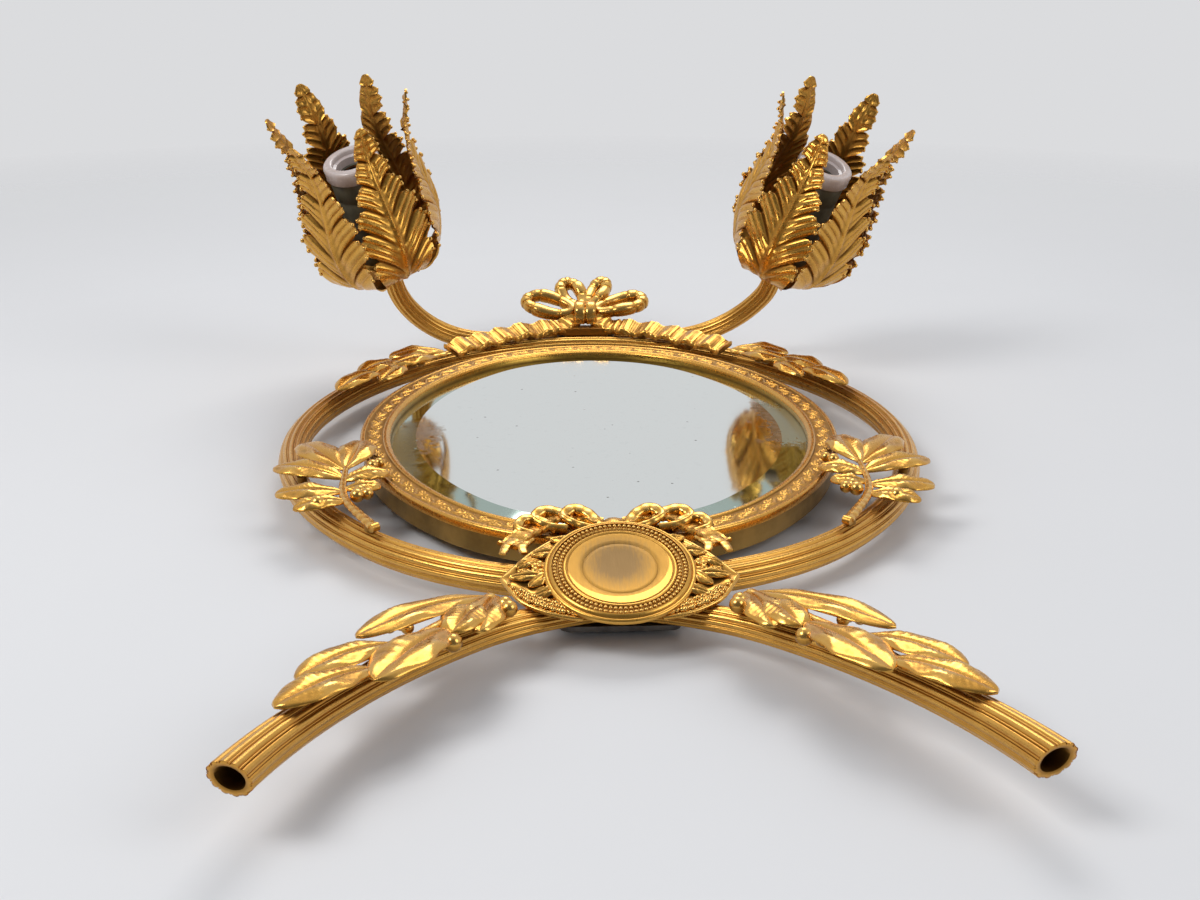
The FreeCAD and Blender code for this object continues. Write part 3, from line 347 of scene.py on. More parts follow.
def medal_finish(name, colours):
    """Gilt like the castings, with patina and painted shade in the recesses, burnish and painted
    highlights on the crowns, and the field of the medallion rubbed brown.
    """
    f = Finish(name, Metallic=1.0)
    relief = f.relief()
    clouds = f.noise(8.0, 4.0)
    brush = f.noise(1.1, 2.0, stretch=(1.6, 0.12, 0.5))
    x = f.axis("X") + 0.8
    y = (f.axis("Y") - DISC_PLACE[1]) / math.cos(math.radians(DISC_TILT)) - 2.6
    reach = f.math("SQRT", x * x + y * y) / 20.0
    patch = f.steps(reach + (brush - 0.5) * 0.42 + (clouds - 0.5) * 0.25, (0.36, 1.0), (0.78, 0.0))
    # low relief takes the patina colour, which is also painted shade; high relief takes the
    # burnished colour, which is also a painted highlight
    oxide_and_shade_mask = f.steps(relief + (clouds - 0.5) * 0.3, (0.06, 1.0), (0.42, 0.0))
    crown = f.steps(relief, (0.72, 0.0), (1.0, 1.0))
    base = f.mix(f.steps(clouds, (0.4, 0.0), (0.7, 0.5)), colours.gold, shaded(colours.gold, 0.75))
    colour = f.mix(crown * 0.55, base, colours.gold_burnish_and_highlight)
    colour = f.mix(oxide_and_shade_mask * 0.8, colour, colours.patina_and_shade)
    field = f.steps(reach, (0.925, 1.0), (0.94, 0.0))
    colour = f.mix(field * 0.75, colour, shaded(colours.gold, 0.66, 0.68, 0.75))
    colour = f.mix(patch * 0.82, colour, (0.19, 0.125, 0.062))
    rough = 0.30 + field * 0.20 + oxide_and_shade_mask * 0.2 + (brush - 0.5) * 0.16
    return f.surface(colour, rough, brush, 0.03)


FINISHES = {}


def finishes():
    """Every finish by name, made when the first is asked for."""
    if not FINISHES:
        c = bpy.context.scene.girandole_colours
        FINISHES.update(
            gilt=gilt_finish("gilt_bronze", c),
            tube=gilt_finish("gilt_tube", c, wear=0.35, dull=0.25),
            inner=gilt_finish("gilt_inner", c, wear=0.2, dull=0.9),
            band=band_finish("sheet_brass", c),
            glass=glass_finish("old_mirror", c),
            medal=medal_finish("medallion_gilt", c),
            board=board_finish("stained_board", c),
            steel=plain_finish("dark_steel", c.steel, 0.45, 1.0, 6.0, 0.45),
            porcelain=plain_finish("porcelain", c.porcelain, 0.26, 0.0, 12.0, 0.14, 0.02,
                                   Coat_Weight=0.35, Coat_Roughness=0.12),
            holder=plain_finish("holder_paint", c.holder, 0.5, 0.0, 7.0, 0.5),
            shell=plain_finish("browned_shell", c.shell, 0.42, 1.0, 5.0, 0.5))
    return FINISHES


# ---- meshes ----

def circle(count):
    """Angles once round, in radians."""
    return np.linspace(0, 2 * math.pi, count, endpoint=False)


def quads(rows, cols, wrap_rows, wrap_cols, first):
    """Faces of a grid of points, closed along rows or columns if asked."""
    r = np.arange(rows if wrap_rows else rows - 1)
    c = np.arange(cols if wrap_cols else cols - 1)
    r, c = np.meshgrid(r, c, indexing="ij")
    r2, c2 = (r + 1) % rows, (c + 1) % cols
    grid = np.stack([r * cols + c, r2 * cols + c, r2 * cols + c2, r * cols + c2], -1)
    return (grid.reshape(-1, 4) + first).tolist()


class Casting:
    """Points, faces and relief of one piece, gathered from its parts; the relief also holds painted
    shade and highlight.
    """

    def __init__(self):
        self.points = []
        self.relief = []
        self.faces = []
        self.count = 0

    def grid(self, points, relief=0.5, wrap_rows=False, wrap_cols=False, caps=False, turn=False):
        """Add a grid of points; caps close its first and last rows."""
        points = np.asarray(points, float)
        rows, cols = points.shape[:2]
        first = self.count
        faces = quads(rows, cols, wrap_rows, wrap_cols, first)
        if caps:
            faces.append([first + i for i in range(cols)])
            faces.append([first + (rows - 1) * cols + i for i in reversed(range(cols))])
        if turn:
            faces = [face[::-1] for face in faces]
        self.points.append(points.reshape(-1, 3))
        self.relief.append(np.broadcast_to(relief, (rows, cols)).reshape(-1))
        self.faces += faces
        self.count += rows * cols

    def ball(self, centre, radius, relief=0.85, rows=9, cols=14, squash=1.0):
        """A berry or a bead."""
        t = np.linspace(0.06, math.pi - 0.06, rows)[:, None]
        a = circle(cols)[None, :]
        x, y = np.sin(t) * np.cos(a), np.sin(t) * np.sin(a)
        z = np.cos(t) * squash + 0 * a
        # the lower half of each bead or berry is set low in the relief: painted shade beneath it
        shade = np.broadcast_to(relief - 0.55 * (np.cos(t) < -0.1), (rows, cols))
        points = np.stack([x, y, z], -1) * radius + np.asarray(centre, float)
        self.grid(points, shade, wrap_cols=True, caps=True)

    def balls(self, number, track_r, z, radius, relief, rows, cols, start=0.0):
        """Row of beads round the Z axis."""
        for i in range(number):
            a = 2 * math.pi * (i + start) / number
            self.ball((track_r * math.cos(a), track_r * math.sin(a), z), radius, relief, rows, cols)

    def add(self, part):
        """Take over everything that another casting gathered."""
        self.points += part.points
        self.relief += part.relief
        self.faces += [[i + self.count for i in face] for face in part.faces]
        self.count += part.count

    def place(self, matrix):
        """Carry everything gathered so far by a 4x4 matrix."""
        m = np.array(matrix)
        self.points = [p @ m[:3, :3].T + m[:3, 3] for p in self.points]
        return self

    def mirrored(self):
        """The left-hand twin of what has been gathered."""
        twin = Casting()
        twin.points = [p * np.array([-1.0, 1.0, 1.0]) for p in self.points]
        twin.relief = list(self.relief)
        twin.faces = [face[::-1] for face in self.faces]
        twin.count = self.count
        return twin

    def piece(self, name, finish, node, slot=GILT, crease=50.0):
        """Make the mesh, give it its finish, and let it ride in place of its CAD node."""
        mesh = bpy.data.meshes.new(name)
        mesh.from_pydata((np.concatenate(self.points) * MM).tolist(), [], self.faces)
        mesh.polygons.foreach_set("use_smooth", [True] * len(mesh.polygons))
        mesh.set_sharp_from_angle(angle=math.radians(crease))
        # the relief attribute gives patina colour and painted shade where low, burnished colour and
        # painted highlight where high
        relief = mesh.attributes.new("relief", "FLOAT", "POINT")
        relief.data.foreach_set("value", np.concatenate(self.relief).astype(np.float32))
        mesh.materials.append(finishes()[finish])
        mesh.update()
        made = bpy.data.objects.new(name, mesh)
        bpy.context.scene.collection.objects.link(made)
        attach(made, MAIN_BODY)
        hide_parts(node)

    def pair(self, name, finish, node):
        """Make this right-hand piece and its left-hand twin."""
        left = self.mirrored()
        self.piece("right_" + name, finish, "right_" + node)
        left.piece("left_" + name, finish, "left_" + node)


def dress_node(node, finish):
    """A CAD piece whose shape is right gets its finish."""
    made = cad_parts[node]
    made.data.materials.clear()
    made.data.materials.append(finishes()[finish])


# ---- lines and places ----

def turn_x(degrees, origin=(0.0, 0.0, 0.0)):
    return Matrix.Translation(Vector(origin)) @ Matrix.Rotation(math.radians(degrees), 4, "X")


def walk(pieces, distances, start=(0.0, 0.0, 0.0)):
    """Points (x, y) and headings at distances along straight runs and arcs."""
    found = []
    for distance in distances:
        x, y, heading = start
        left = distance
        for i, piece in enumerate(pieces):
            length = piece[1] if piece[0] == "line" else abs(math.radians(piece[2])) * piece[1]
            last = i == len(pieces) - 1
            share = left / length if (left <= length or last) else 1.0
            a = math.radians(heading)
            if piece[0] == "line":
                x += piece[1] * share * math.cos(a)
                y += piece[1] * share * math.sin(a)
            else:
                radius = math.copysign(piece[1], piece[2])
                b = a + math.radians(piece[2] * share)
                x += radius * (math.sin(b) - math.sin(a))
                y -= radius * (math.cos(b) - math.cos(a))
                heading += piece[2] * share
            if left <= length:
                break
            left -= length
        found.append((x, y, math.radians(heading)))
    return np.array(found)


def pieces_length(pieces):
    return sum(p[1] if p[0] == "line" else abs(math.radians(p[2])) * p[1] for p in pieces)


def oval_pieces(half_w, half_h, end_c, whole=True):
    """Arcs of an oval from its bottom, all the way round or up to its top."""
    extra = half_h - half_w
    side_c = extra * (2 * end_c - extra) / (2 * (end_c - extra))
    joint = math.degrees(math.atan2(end_c, side_c))
    end_r, side_r = half_h - end_c, half_w + side_c
    quarter = ("arc", end_r, 90 - joint)
    side = ("arc", side_r, 2 * joint)
    if whole:
        return [quarter, side, ("arc", end_r, 180 - 2 * joint), side, quarter]
    return [quarter, side, quarter]


def run_along(line):
    """Distance of each point from the start of its line."""
    return np.r_[0, np.cumsum(np.linalg.norm(np.diff(line, axis=0), axis=1))]


def flow(points, count):
    """Smooth line through a few points, evenly stepped."""
    p = np.asarray(points, float)
    if len(p) == 2:
        return p[0] + (p[1] - p[0]) * np.linspace(0, 1, count)[:, None]
    padded = np.vstack([2 * p[0] - p[1], p, 2 * p[-1] - p[-2]])
    dense = []
    for i in range(len(p) - 1):
        a, b, c, d = padded[i:i + 4]
        t = np.linspace(0, 1, 24, endpoint=i == len(p) - 2)[:, None]
        dense.append(0.5 * (2 * b + (c - a) * t + (2 * a - 5 * b + 4 * c - d) * t ** 2
                            + (3 * b - a - 3 * c + d) * t ** 3))
    dense = np.vstack(dense)
    steps = run_along(dense)
    at = np.linspace(0, steps[-1], count)
    return np.stack([np.interp(at, steps, dense[:, k]) for k in range(dense.shape[1])], -1)


def directions(line):
    """Unit steps along a line of points."""
    ahead = np.gradient(line, axis=0)
    return ahead / np.linalg.norm(ahead, axis=1)[:, None]


def laid_out(line):
    """A line's points, its unit steps sideways and up, and the distance run at each point."""
    line = np.asarray(line, float)
    ahead = directions(line)
    side = np.cross((0, 0, 1.0), ahead)
    side /= np.maximum(np.linalg.norm(side, axis=1), 1e-6)[:, None]
    return line, side, np.cross(ahead, side), run_along(line)


def set_off(line, side, up, across, height):
    """Grid of points set off sideways and up from each point of a line."""
    return (line[:, None, :] + across[..., None] * side[:, None, :]
            + height[..., None] * up[:, None, :])


def bell(x, width):
    """Smooth bump of height 1 round zero."""
    return np.exp(-(x / width) ** 2)


# ---- stage ----

class GIRANDOLE_OT_stage(bpy.types.Operator):
    """Lay the pale floor, set soft studio light and the photograph's camera"""
    bl_idname = "girandole.stage"
    bl_label = "Stage"

    def execute(self, context):
        self.floor(context)
        self.light(context)
        self.camera(context)
        return {"FINISHED"}

    def floor(self, context):
        colour = context.scene.girandole_colours.floor
        mesh = bpy.data.meshes.new("floor")
        half, z = 14.0, FLOOR_Z * MM
        mesh.from_pydata([(-half, -half, z), (half, -half, z), (half, half, z), (-half, half, z)],
                         [], [(0, 1, 2, 3)])
        f = Finish("pale_floor", Metallic=0.0)
        clouds = f.noise(260.0, 3.0)
        tone = f.mix(f.steps(clouds, (0.3, 0.0), (0.7, 1.0)), colour, shaded(colour, 0.985))
        x, y = f.axis("X"), f.axis("Y")
        away = f.math("SQRT", x * x + y * y) / 2400.0
        f.surface(tone, 0.7 + (clouds - 0.5) * 0.1, alpha=f.steps(away, (0.20, 1.0), (0.52, 0.0)))
        mesh.materials.append(f.material)
        made = bpy.data.objects.new("floor", mesh)
        context.scene.collection.objects.link(made)

    def light(self, context):
        """Cool light from all round; views and reflections see a pale room, darker in front."""
        world = bpy.data.worlds.new("studio")
        context.scene.world = world
        s = Shading(world)
        seen = s.node("ShaderNodeLightPath").outputs
        way = s.node("ShaderNodeTexCoord").outputs["Generated"]
        dim = s.node("ShaderNodeMapRange", {
            "Value": s.node("ShaderNodeSeparateXYZ", {0: way}).outputs["Y"],
            "From Min": -0.55, "From Max": 0.15, "To Min": 0.22, "To Max": 1.0})
        level = s.math("MAXIMUM", dim.outputs[0], seen["Is Camera Ray"])
        lit = s.node("ShaderNodeBackground", {"Color": (0.92, 0.95, 1.0), "Strength": 0.42})
        shown = s.node("ShaderNodeBackground", {"Color": (0.71, 0.715, 0.73), "Strength": level})
        either = s.math("MAXIMUM", seen["Is Camera Ray"], seen["Is Glossy Ray"])
        choose = s.node("ShaderNodeMixShader", {0: either, 1: lit.outputs[0], 2: shown.outputs[0]})
        s.node("ShaderNodeOutputWorld", {0: choose.outputs[0]})
        for name, spot, target, width, power in (
                ("key", (-0.9, -0.5, 1.1), (0, 0, 0), 0.55, 9.0),
                ("fill", (1.1, -0.7, 0.9), (0, 0, 0), 0.8, 5.5),
                ("top", (0.1, 0.9, 1.2), (0, 0.1, 0), 0.7, 6.5)):
            lamp = bpy.data.lights.new(name, "AREA")
            lamp.energy = power
            lamp.size = width
            made = bpy.data.objects.new(name, lamp)
            made.location = spot
            ahead = Vector(target) - Vector(spot)
            made.rotation_euler = ahead.to_track_quat("-Z", "Y").to_euler()
            context.scene.collection.objects.link(made)

    def camera(self, context):
        """The photograph's view, as solved from its tubes and ovals."""
        yaw, pitch, roll = 0.04427, 0.33753, 0.00166
        flat = math.cos(pitch)
        ahead = Vector((math.sin(yaw) * flat, math.cos(yaw) * flat, -math.sin(pitch)))
        right = Vector((math.cos(yaw), -math.sin(yaw), 0.0))
        up = right.cross(ahead)
        turned_right = right * math.cos(roll) + up * math.sin(roll)
        turned_up = up * math.cos(roll) - right * math.sin(roll)
        lens = bpy.data.cameras.new("photo_camera")
        lens.lens = context.scene.girandole_sizes.camera_focal
        lens.sensor_width = 36.0
        lens.clip_start, lens.clip_end = 0.01, 60.0
        made = bpy.data.objects.new("photo_camera", lens)
        made.matrix_world = Matrix((
            (turned_right.x, turned_up.x, -ahead.x, -28.4 * MM),
            (turned_right.y, turned_up.y, -ahead.y, -659.1 * MM),
            (turned_right.z, turned_up.z, -ahead.z, (237.1 + FLOOR_Z) * MM),
            (0.0, 0.0, 0.0, 1.0)))
        context.scene.collection.objects.link(made)
        context.scene.camera = made
        context.scene.view_settings.view_transform = "Standard"


# ---- tubes ----

REED_SAMPLES = 16
REED_SHARE = 0.74    # the broad reed's part of each reed and fillet


def reeded_section(radius, sizes):
    """Section of a reeded tube: a broad reed and a thin fillet in turn, with fine grooves."""
    reeds = sizes.reeds
    share = np.linspace(0, 1, REED_SAMPLES, endpoint=False)
    reed = np.sin(np.pi * np.clip(share / REED_SHARE, 0, 1)) ** 0.35
    fillet = 0.72 * np.sin(np.pi * np.clip((share - REED_SHARE) / (1 - REED_SHARE), 0, 1)) ** 0.5
    height = np.tile(np.where(share < REED_SHARE, reed, fillet), reeds)
    angle = 2 * np.pi * np.arange(len(height)) / len(height) - np.pi * 0.37 * 2 / reeds
    depth = sizes.reed_depth * (radius / RING_R)
    return radius - depth * (1 - height), angle, height


def reeded_tube(cast, line, ahead, up, radii, sizes, cut=0.0):
    """Sweep the reeded section along a line; its end is cut back under the tube by an angle."""
    side = np.cross(up, ahead)
    length = np.linalg.norm(np.diff(line, axis=0), axis=1).sum()
    ratio, angle, height = reeded_section(1.0, sizes)
    back = radii[-1] * (1 - np.sin(angle)) * math.tan(math.radians(cut))
    at = np.arange(len(line))[:, None] * (1 - back / length)[None, :]
    rows = np.arange(len(line))

    def along(values):
        return np.stack([np.interp(at, rows, values[:, k]) for k in range(values.shape[1])], -1)

    radius = along(radii[:, None]) * ratio[None, :, None]
    points = along(line) + radius * (np.cos(angle)[None, :, None] * along(side)
                                     + np.sin(angle)[None, :, None] * np.asarray(up))
    # the grooves between the reeds are set low in the relief: patina with painted shade
    cast.grid(points, 0.12 + 0.68 * height[None, :], wrap_cols=True)


def placed(points, headings, matrix):
    """Carry a plane line and its steps by a matrix."""
    m = np.array(matrix)
    line = np.c_[points, np.zeros(len(points))] @ m[:3, :3].T + m[:3, 3]
    ahead = np.c_[np.cos(headings), np.sin(headings), np.zeros(len(headings))] @ m[:3, :3].T
    return line, ahead, m[:3, 2]


def tube_end(cast, centre, ahead, up, sizes):
    """The cut end of a leg: a worn lip, the counterbore and the bore behind it."""
    outer, inner, depth = LEG_R1, LEG_MOUTH_R, LEG_MOUTH_L
    side = np.cross(up, ahead)
    r, angle, _ = reeded_section(outer, sizes)
    ring = np.outer(np.cos(angle), side) + np.outer(np.sin(angle), up)
    slope = math.tan(math.radians(LEG_CUT))
    rows = []
    for radius, back in (
            (r, 0.35), (r - 0.4, 0.0), (r * 0 + inner + 0.9, 0.0), (r * 0 + inner + 0.4, 0.3),
            (r * 0 + inner, depth / 2), (r * 0 + inner, depth), (r * 0 + LEG_BORE, depth),
            (r * 0 + LEG_BORE, depth + 12.0)):
        under = (outer - radius * np.sin(angle)) * slope * (back < depth / 2)
        rows.append(centre - ahead * (back + under)[:, None] + ring * radius[:, None])
    # the counterbore and bore are set lowest in the relief: painted shade inside the tube
    relief = np.array([0.75, 0.5, 0.25, 0.2, 0.0, 0.0, 0.0, 0.0])[:, None]
    cast.grid(np.array(rows), relief, wrap_cols=True)


class GIRANDOLE_OT_tubes(bpy.types.Operator):
    """Draw the reeded ring halves, the flared legs and the arms"""
    bl_idname = "girandole.tubes"
    bl_label = "Reeded tubes"

    def execute(self, context):
        sizes = context.scene.girandole_sizes
        pieces = oval_pieces(*RING_PATH, whole=False)
        place = Matrix.Translation((0, 0, RING_Z))
        line, ahead, up = self.route(pieces, 220, place, (0.0, -RING_PATH[1], 0.0))
        ring = Casting()
        reeded_tube(ring, line, ahead, up, np.full(len(line), RING_R), sizes)
        ring.pair("ring", "tube", "ring_tube")

        line, ahead, up = self.route(LEG_PATH, 120, turn_x(-LEG_RISE, LEG_ORIGIN))
        leg = Casting()
        reeded_tube(leg, line, ahead, up, np.linspace(LEG_R0, LEG_R1, len(line)), sizes, LEG_CUT)
        tube_end(leg, line[-1], ahead[-1], up, sizes)
        leg.pair("leg", "tube", "leg_tube")

        for side, pieces in ARM_PATHS.items():
            line, ahead, up = self.route(pieces, 110, turn_x(90 + ARM_LEAN, ARM_ORIGIN))
            arm = Casting()
            reeded_tube(arm, line, ahead, up, np.full(len(line), ARM_R), sizes)
            if side == "left":
                arm = arm.mirrored()
            arm.piece(side + "_arm", "tube", side + "_arm_tube")
        return {"FINISHED"}

    def route(self, pieces, count, place, start=(0.0, 0.0, 0.0)):
        track = walk(pieces, np.linspace(0, pieces_length(pieces), count), start)
        return placed(track[:, :2], track[:, 2], place)


# ---- mirror frame ----

SMOOTH_ROUND = 420    # stations round a plain oval


def frame_track(count):
    """Stations round the frame's outer edge, and the unit steps inward."""
    pieces = oval_pieces(*FRAME_PATH)
    length = pieces_length(pieces)
    at = np.linspace(0, length, count, endpoint=False)
    track = walk(pieces, at, (0.0, -FRAME_PATH[1], 0.0))
    inward = np.c_[-np.sin(track[:, 2]), np.cos(track[:, 2])]
    return track[:, :2], inward, at, length


def frame_rows(insets, heights, count):
    """Grid round the frame at the given insets from its edge."""
    spots, inward, at, length = frame_track(count)
    xy = spots[:, None, :] + inward[:, None, :] * np.asarray(insets)[None, :, None]
    z = np.broadcast_to(np.asarray(heights, float), xy.shape[:2])
    return np.concatenate([xy, z[..., None]], -1), at, length


def scroll_relief(run, across, motif):
    """Height of the foliage scroll: a running stem, curled leaves and a dotted ground."""
    x = np.mod(run, motif) / motif * 2 * np.pi
    stem_y = 1.5 * np.sin(x)
    stem = bell(across - stem_y, 0.55)
    height = 0.75 * stem
    for centre, flip in ((0.5 * np.pi, -1), (1.5 * np.pi, 1)):
        dx = (x - centre) * motif / (2 * np.pi)
        dy = across - flip * 1.15
        reach = np.hypot(dx, dy)
        angle = np.arctan2(dy * flip, dx)
        curl = bell(reach - 1.45 - 0.25 * angle / np.pi, 0.42)
        teeth = 0.75 + 0.25 * np.cos(angle * 7)
        eye = bell(reach, 0.55)
        leaf_x = dx - 2.9
        leaf_y = across - flip * (2.2 - 0.25 * np.abs(dx))
        leaf = np.exp(-(leaf_x / 1.5) ** 2 - (leaf_y / 0.8) ** 2) * (0.8 + 0.2 * np.cos(dx * 6))
        height = np.maximum(height, np.maximum(curl * teeth * 0.85, np.maximum(eye, leaf * 0.9)))
    dots = 0.22 * (0.5 + 0.5 * np.cos(run * 5.2)) * (0.5 + 0.5 * np.cos(across * 5.2))
    return np.maximum(height, dots)


class GIRANDOLE_OT_frame_rim(bpy.types.Operator):
    """Chase the foliage scroll round the mirror frame and roll its plain side band"""
    bl_idname = "girandole.frame_rim"
    bl_label = "Mirror frame"

    def execute(self, context):
        self.rim(context.scene.girandole_sizes)
        self.band()
        return {"FINISHED"}

    def rim(self, sizes):
        lip = RIM_W - LIP_W
        field = np.linspace(2.6, 10.2, 34)
        insets = np.r_[0, 0, 0.3, 0.8, 1.4, 2.0, 2.35, field, 10.5, 10.8, 11.2, 11.6, 12.0, 12.4,
                       12.9, 13.2, 13.6, 13.9, RIM_W, RIM_W, lip, lip]
        edge = [-3.6, -1.0, -0.45, -0.2, -0.15, -0.2, -0.5]
        inner = [-0.25, 0.0, 0.12, 0.15, 0.12, 0.0, -0.45, -0.6, -0.8, -1.2, -1.8, -4.2, -4.2, -6.4]
        profile = FRAME_TOP - 0.15 + np.r_[edge, np.full(len(field), -0.72), inner]
        points, at, length = frame_rows(insets, profile, 1500)
        chased = slice(len(edge), len(edge) + len(field))
        motif = length / round(length / 14.0)
        run = at[:, None]
        across = field[None, :] - 6.4
        border = np.clip((3.75 - np.abs(across)) / 0.35, 0, 1)
        height = scroll_relief(run, across, motif) * border
        jitter = 1.0 + 0.12 * np.sin(run * 0.37) * np.cos(run * 0.083)
        points[:, chased, 2] += height * jitter * sizes.rim_relief
        relief = np.full(points.shape[:2], 0.62)
        relief[:, chased] = 0.10 + 0.85 * height
        # the grooves at the chased field's borders and the wall under the lip are set low in the
        # relief: painted shade
        relief[:, [chased.start - 1, chased.stop]] = 0.15
        relief[:, -3:] = 0.1
        rim = Casting()
        rim.grid(points, relief, wrap_rows=True)
        rim.piece("chased_rim", "gilt", "frame_rim", crease=60.0)

    def band(self):
        low = node_box("frame_side_band")[0][2]
        top = FRAME_TOP - RIM_EDGE_T
        z = np.array([low, low + 0.3, low + 0.9, (low + top) / 2, top - 0.6, top, top, low])
        points, _, _ = frame_rows([1.9, 1.4, 1.4, 1.4, 1.4, 1.4, 2.6, 2.6], z, SMOOTH_ROUND)
        band = Casting()
        band.grid(points, 0.5, wrap_rows=True, wrap_cols=True)
        band.piece("side_band", "band", "frame_side_band", slot="band_brass", crease=40.0)


class GIRANDOLE_OT_glass(bpy.types.Operator):
    """Grind the bevel of the glass and silver its back"""
    bl_idname = "girandole.glass"
    bl_label = "Mirror glass"

    def execute(self, context):
        low, high = node_box("mirror_glass")
        edge = RIM_W - LIP_W + 0.3
        flat = edge + BEVEL_W
        heights = [low[2], low[2] + 1.8, low[2] + 1.82, high[2]]
        points, _, _ = frame_rows([edge, edge, edge + 0.15, flat], heights, SMOOTH_ROUND)
        glass = Casting()
        glass.grid(points, np.array([0.9, 0.9, 1.0, 1.0])[None, :], wrap_rows=True)
        front, _, _ = frame_rows([flat, flat + 0.5], [high[2], high[2]], SMOOTH_ROUND)
        glass.grid(front, 0.0, wrap_rows=True)
        back, _, _ = frame_rows([edge], [low[2]], SMOOTH_ROUND)
        for outline, relief, step in ((front[:, 1:2], 0.0, 1), (back, 0.5, -1)):
            face = [glass.count + i for i in range(SMOOTH_ROUND)]
            glass.grid(outline, relief)
            glass.faces.append(face[::step])
        glass.piece("bevelled_glass", "glass", "mirror_glass", slot="mirror", crease=1.0)
        return {"FINISHED"}


class GIRANDOLE_OT_back(bpy.types.Operator):
    """Finish the backing board, the turn buttons, the clamps and the hanging bail"""
    bl_idname = "girandole.back"
    bl_label = "Back of the mirror"

    def execute(self, context):
        dress_node("backing_board", "board")
        dress_node("frame_back_flange", "band")
        for i in range(1, 5):
            dress_node("turn_button_%d" % i, "band")
        for node in ("low_clamp", "top_clamp", "clamp_studs", "clamp_nuts", "turn_button_screws",
                     "hanging_bail"):
            dress_node(node, "steel")
        return {"FINISHED"}


# ---- medallion ----

def lathe(cast, profile, relief, cols=96):
    """Turn a profile of (radius, height) about +Z."""
    profile = np.asarray(profile, float)
    a = circle(cols)
    rows = np.stack([np.outer(profile[:, 0], np.cos(a)), np.outer(profile[:, 0], np.sin(a)),
                     np.outer(profile[:, 1], np.ones(cols))], -1)
    cast.grid(rows, np.asarray(relief, float)[:, None], wrap_cols=True, turn=True)


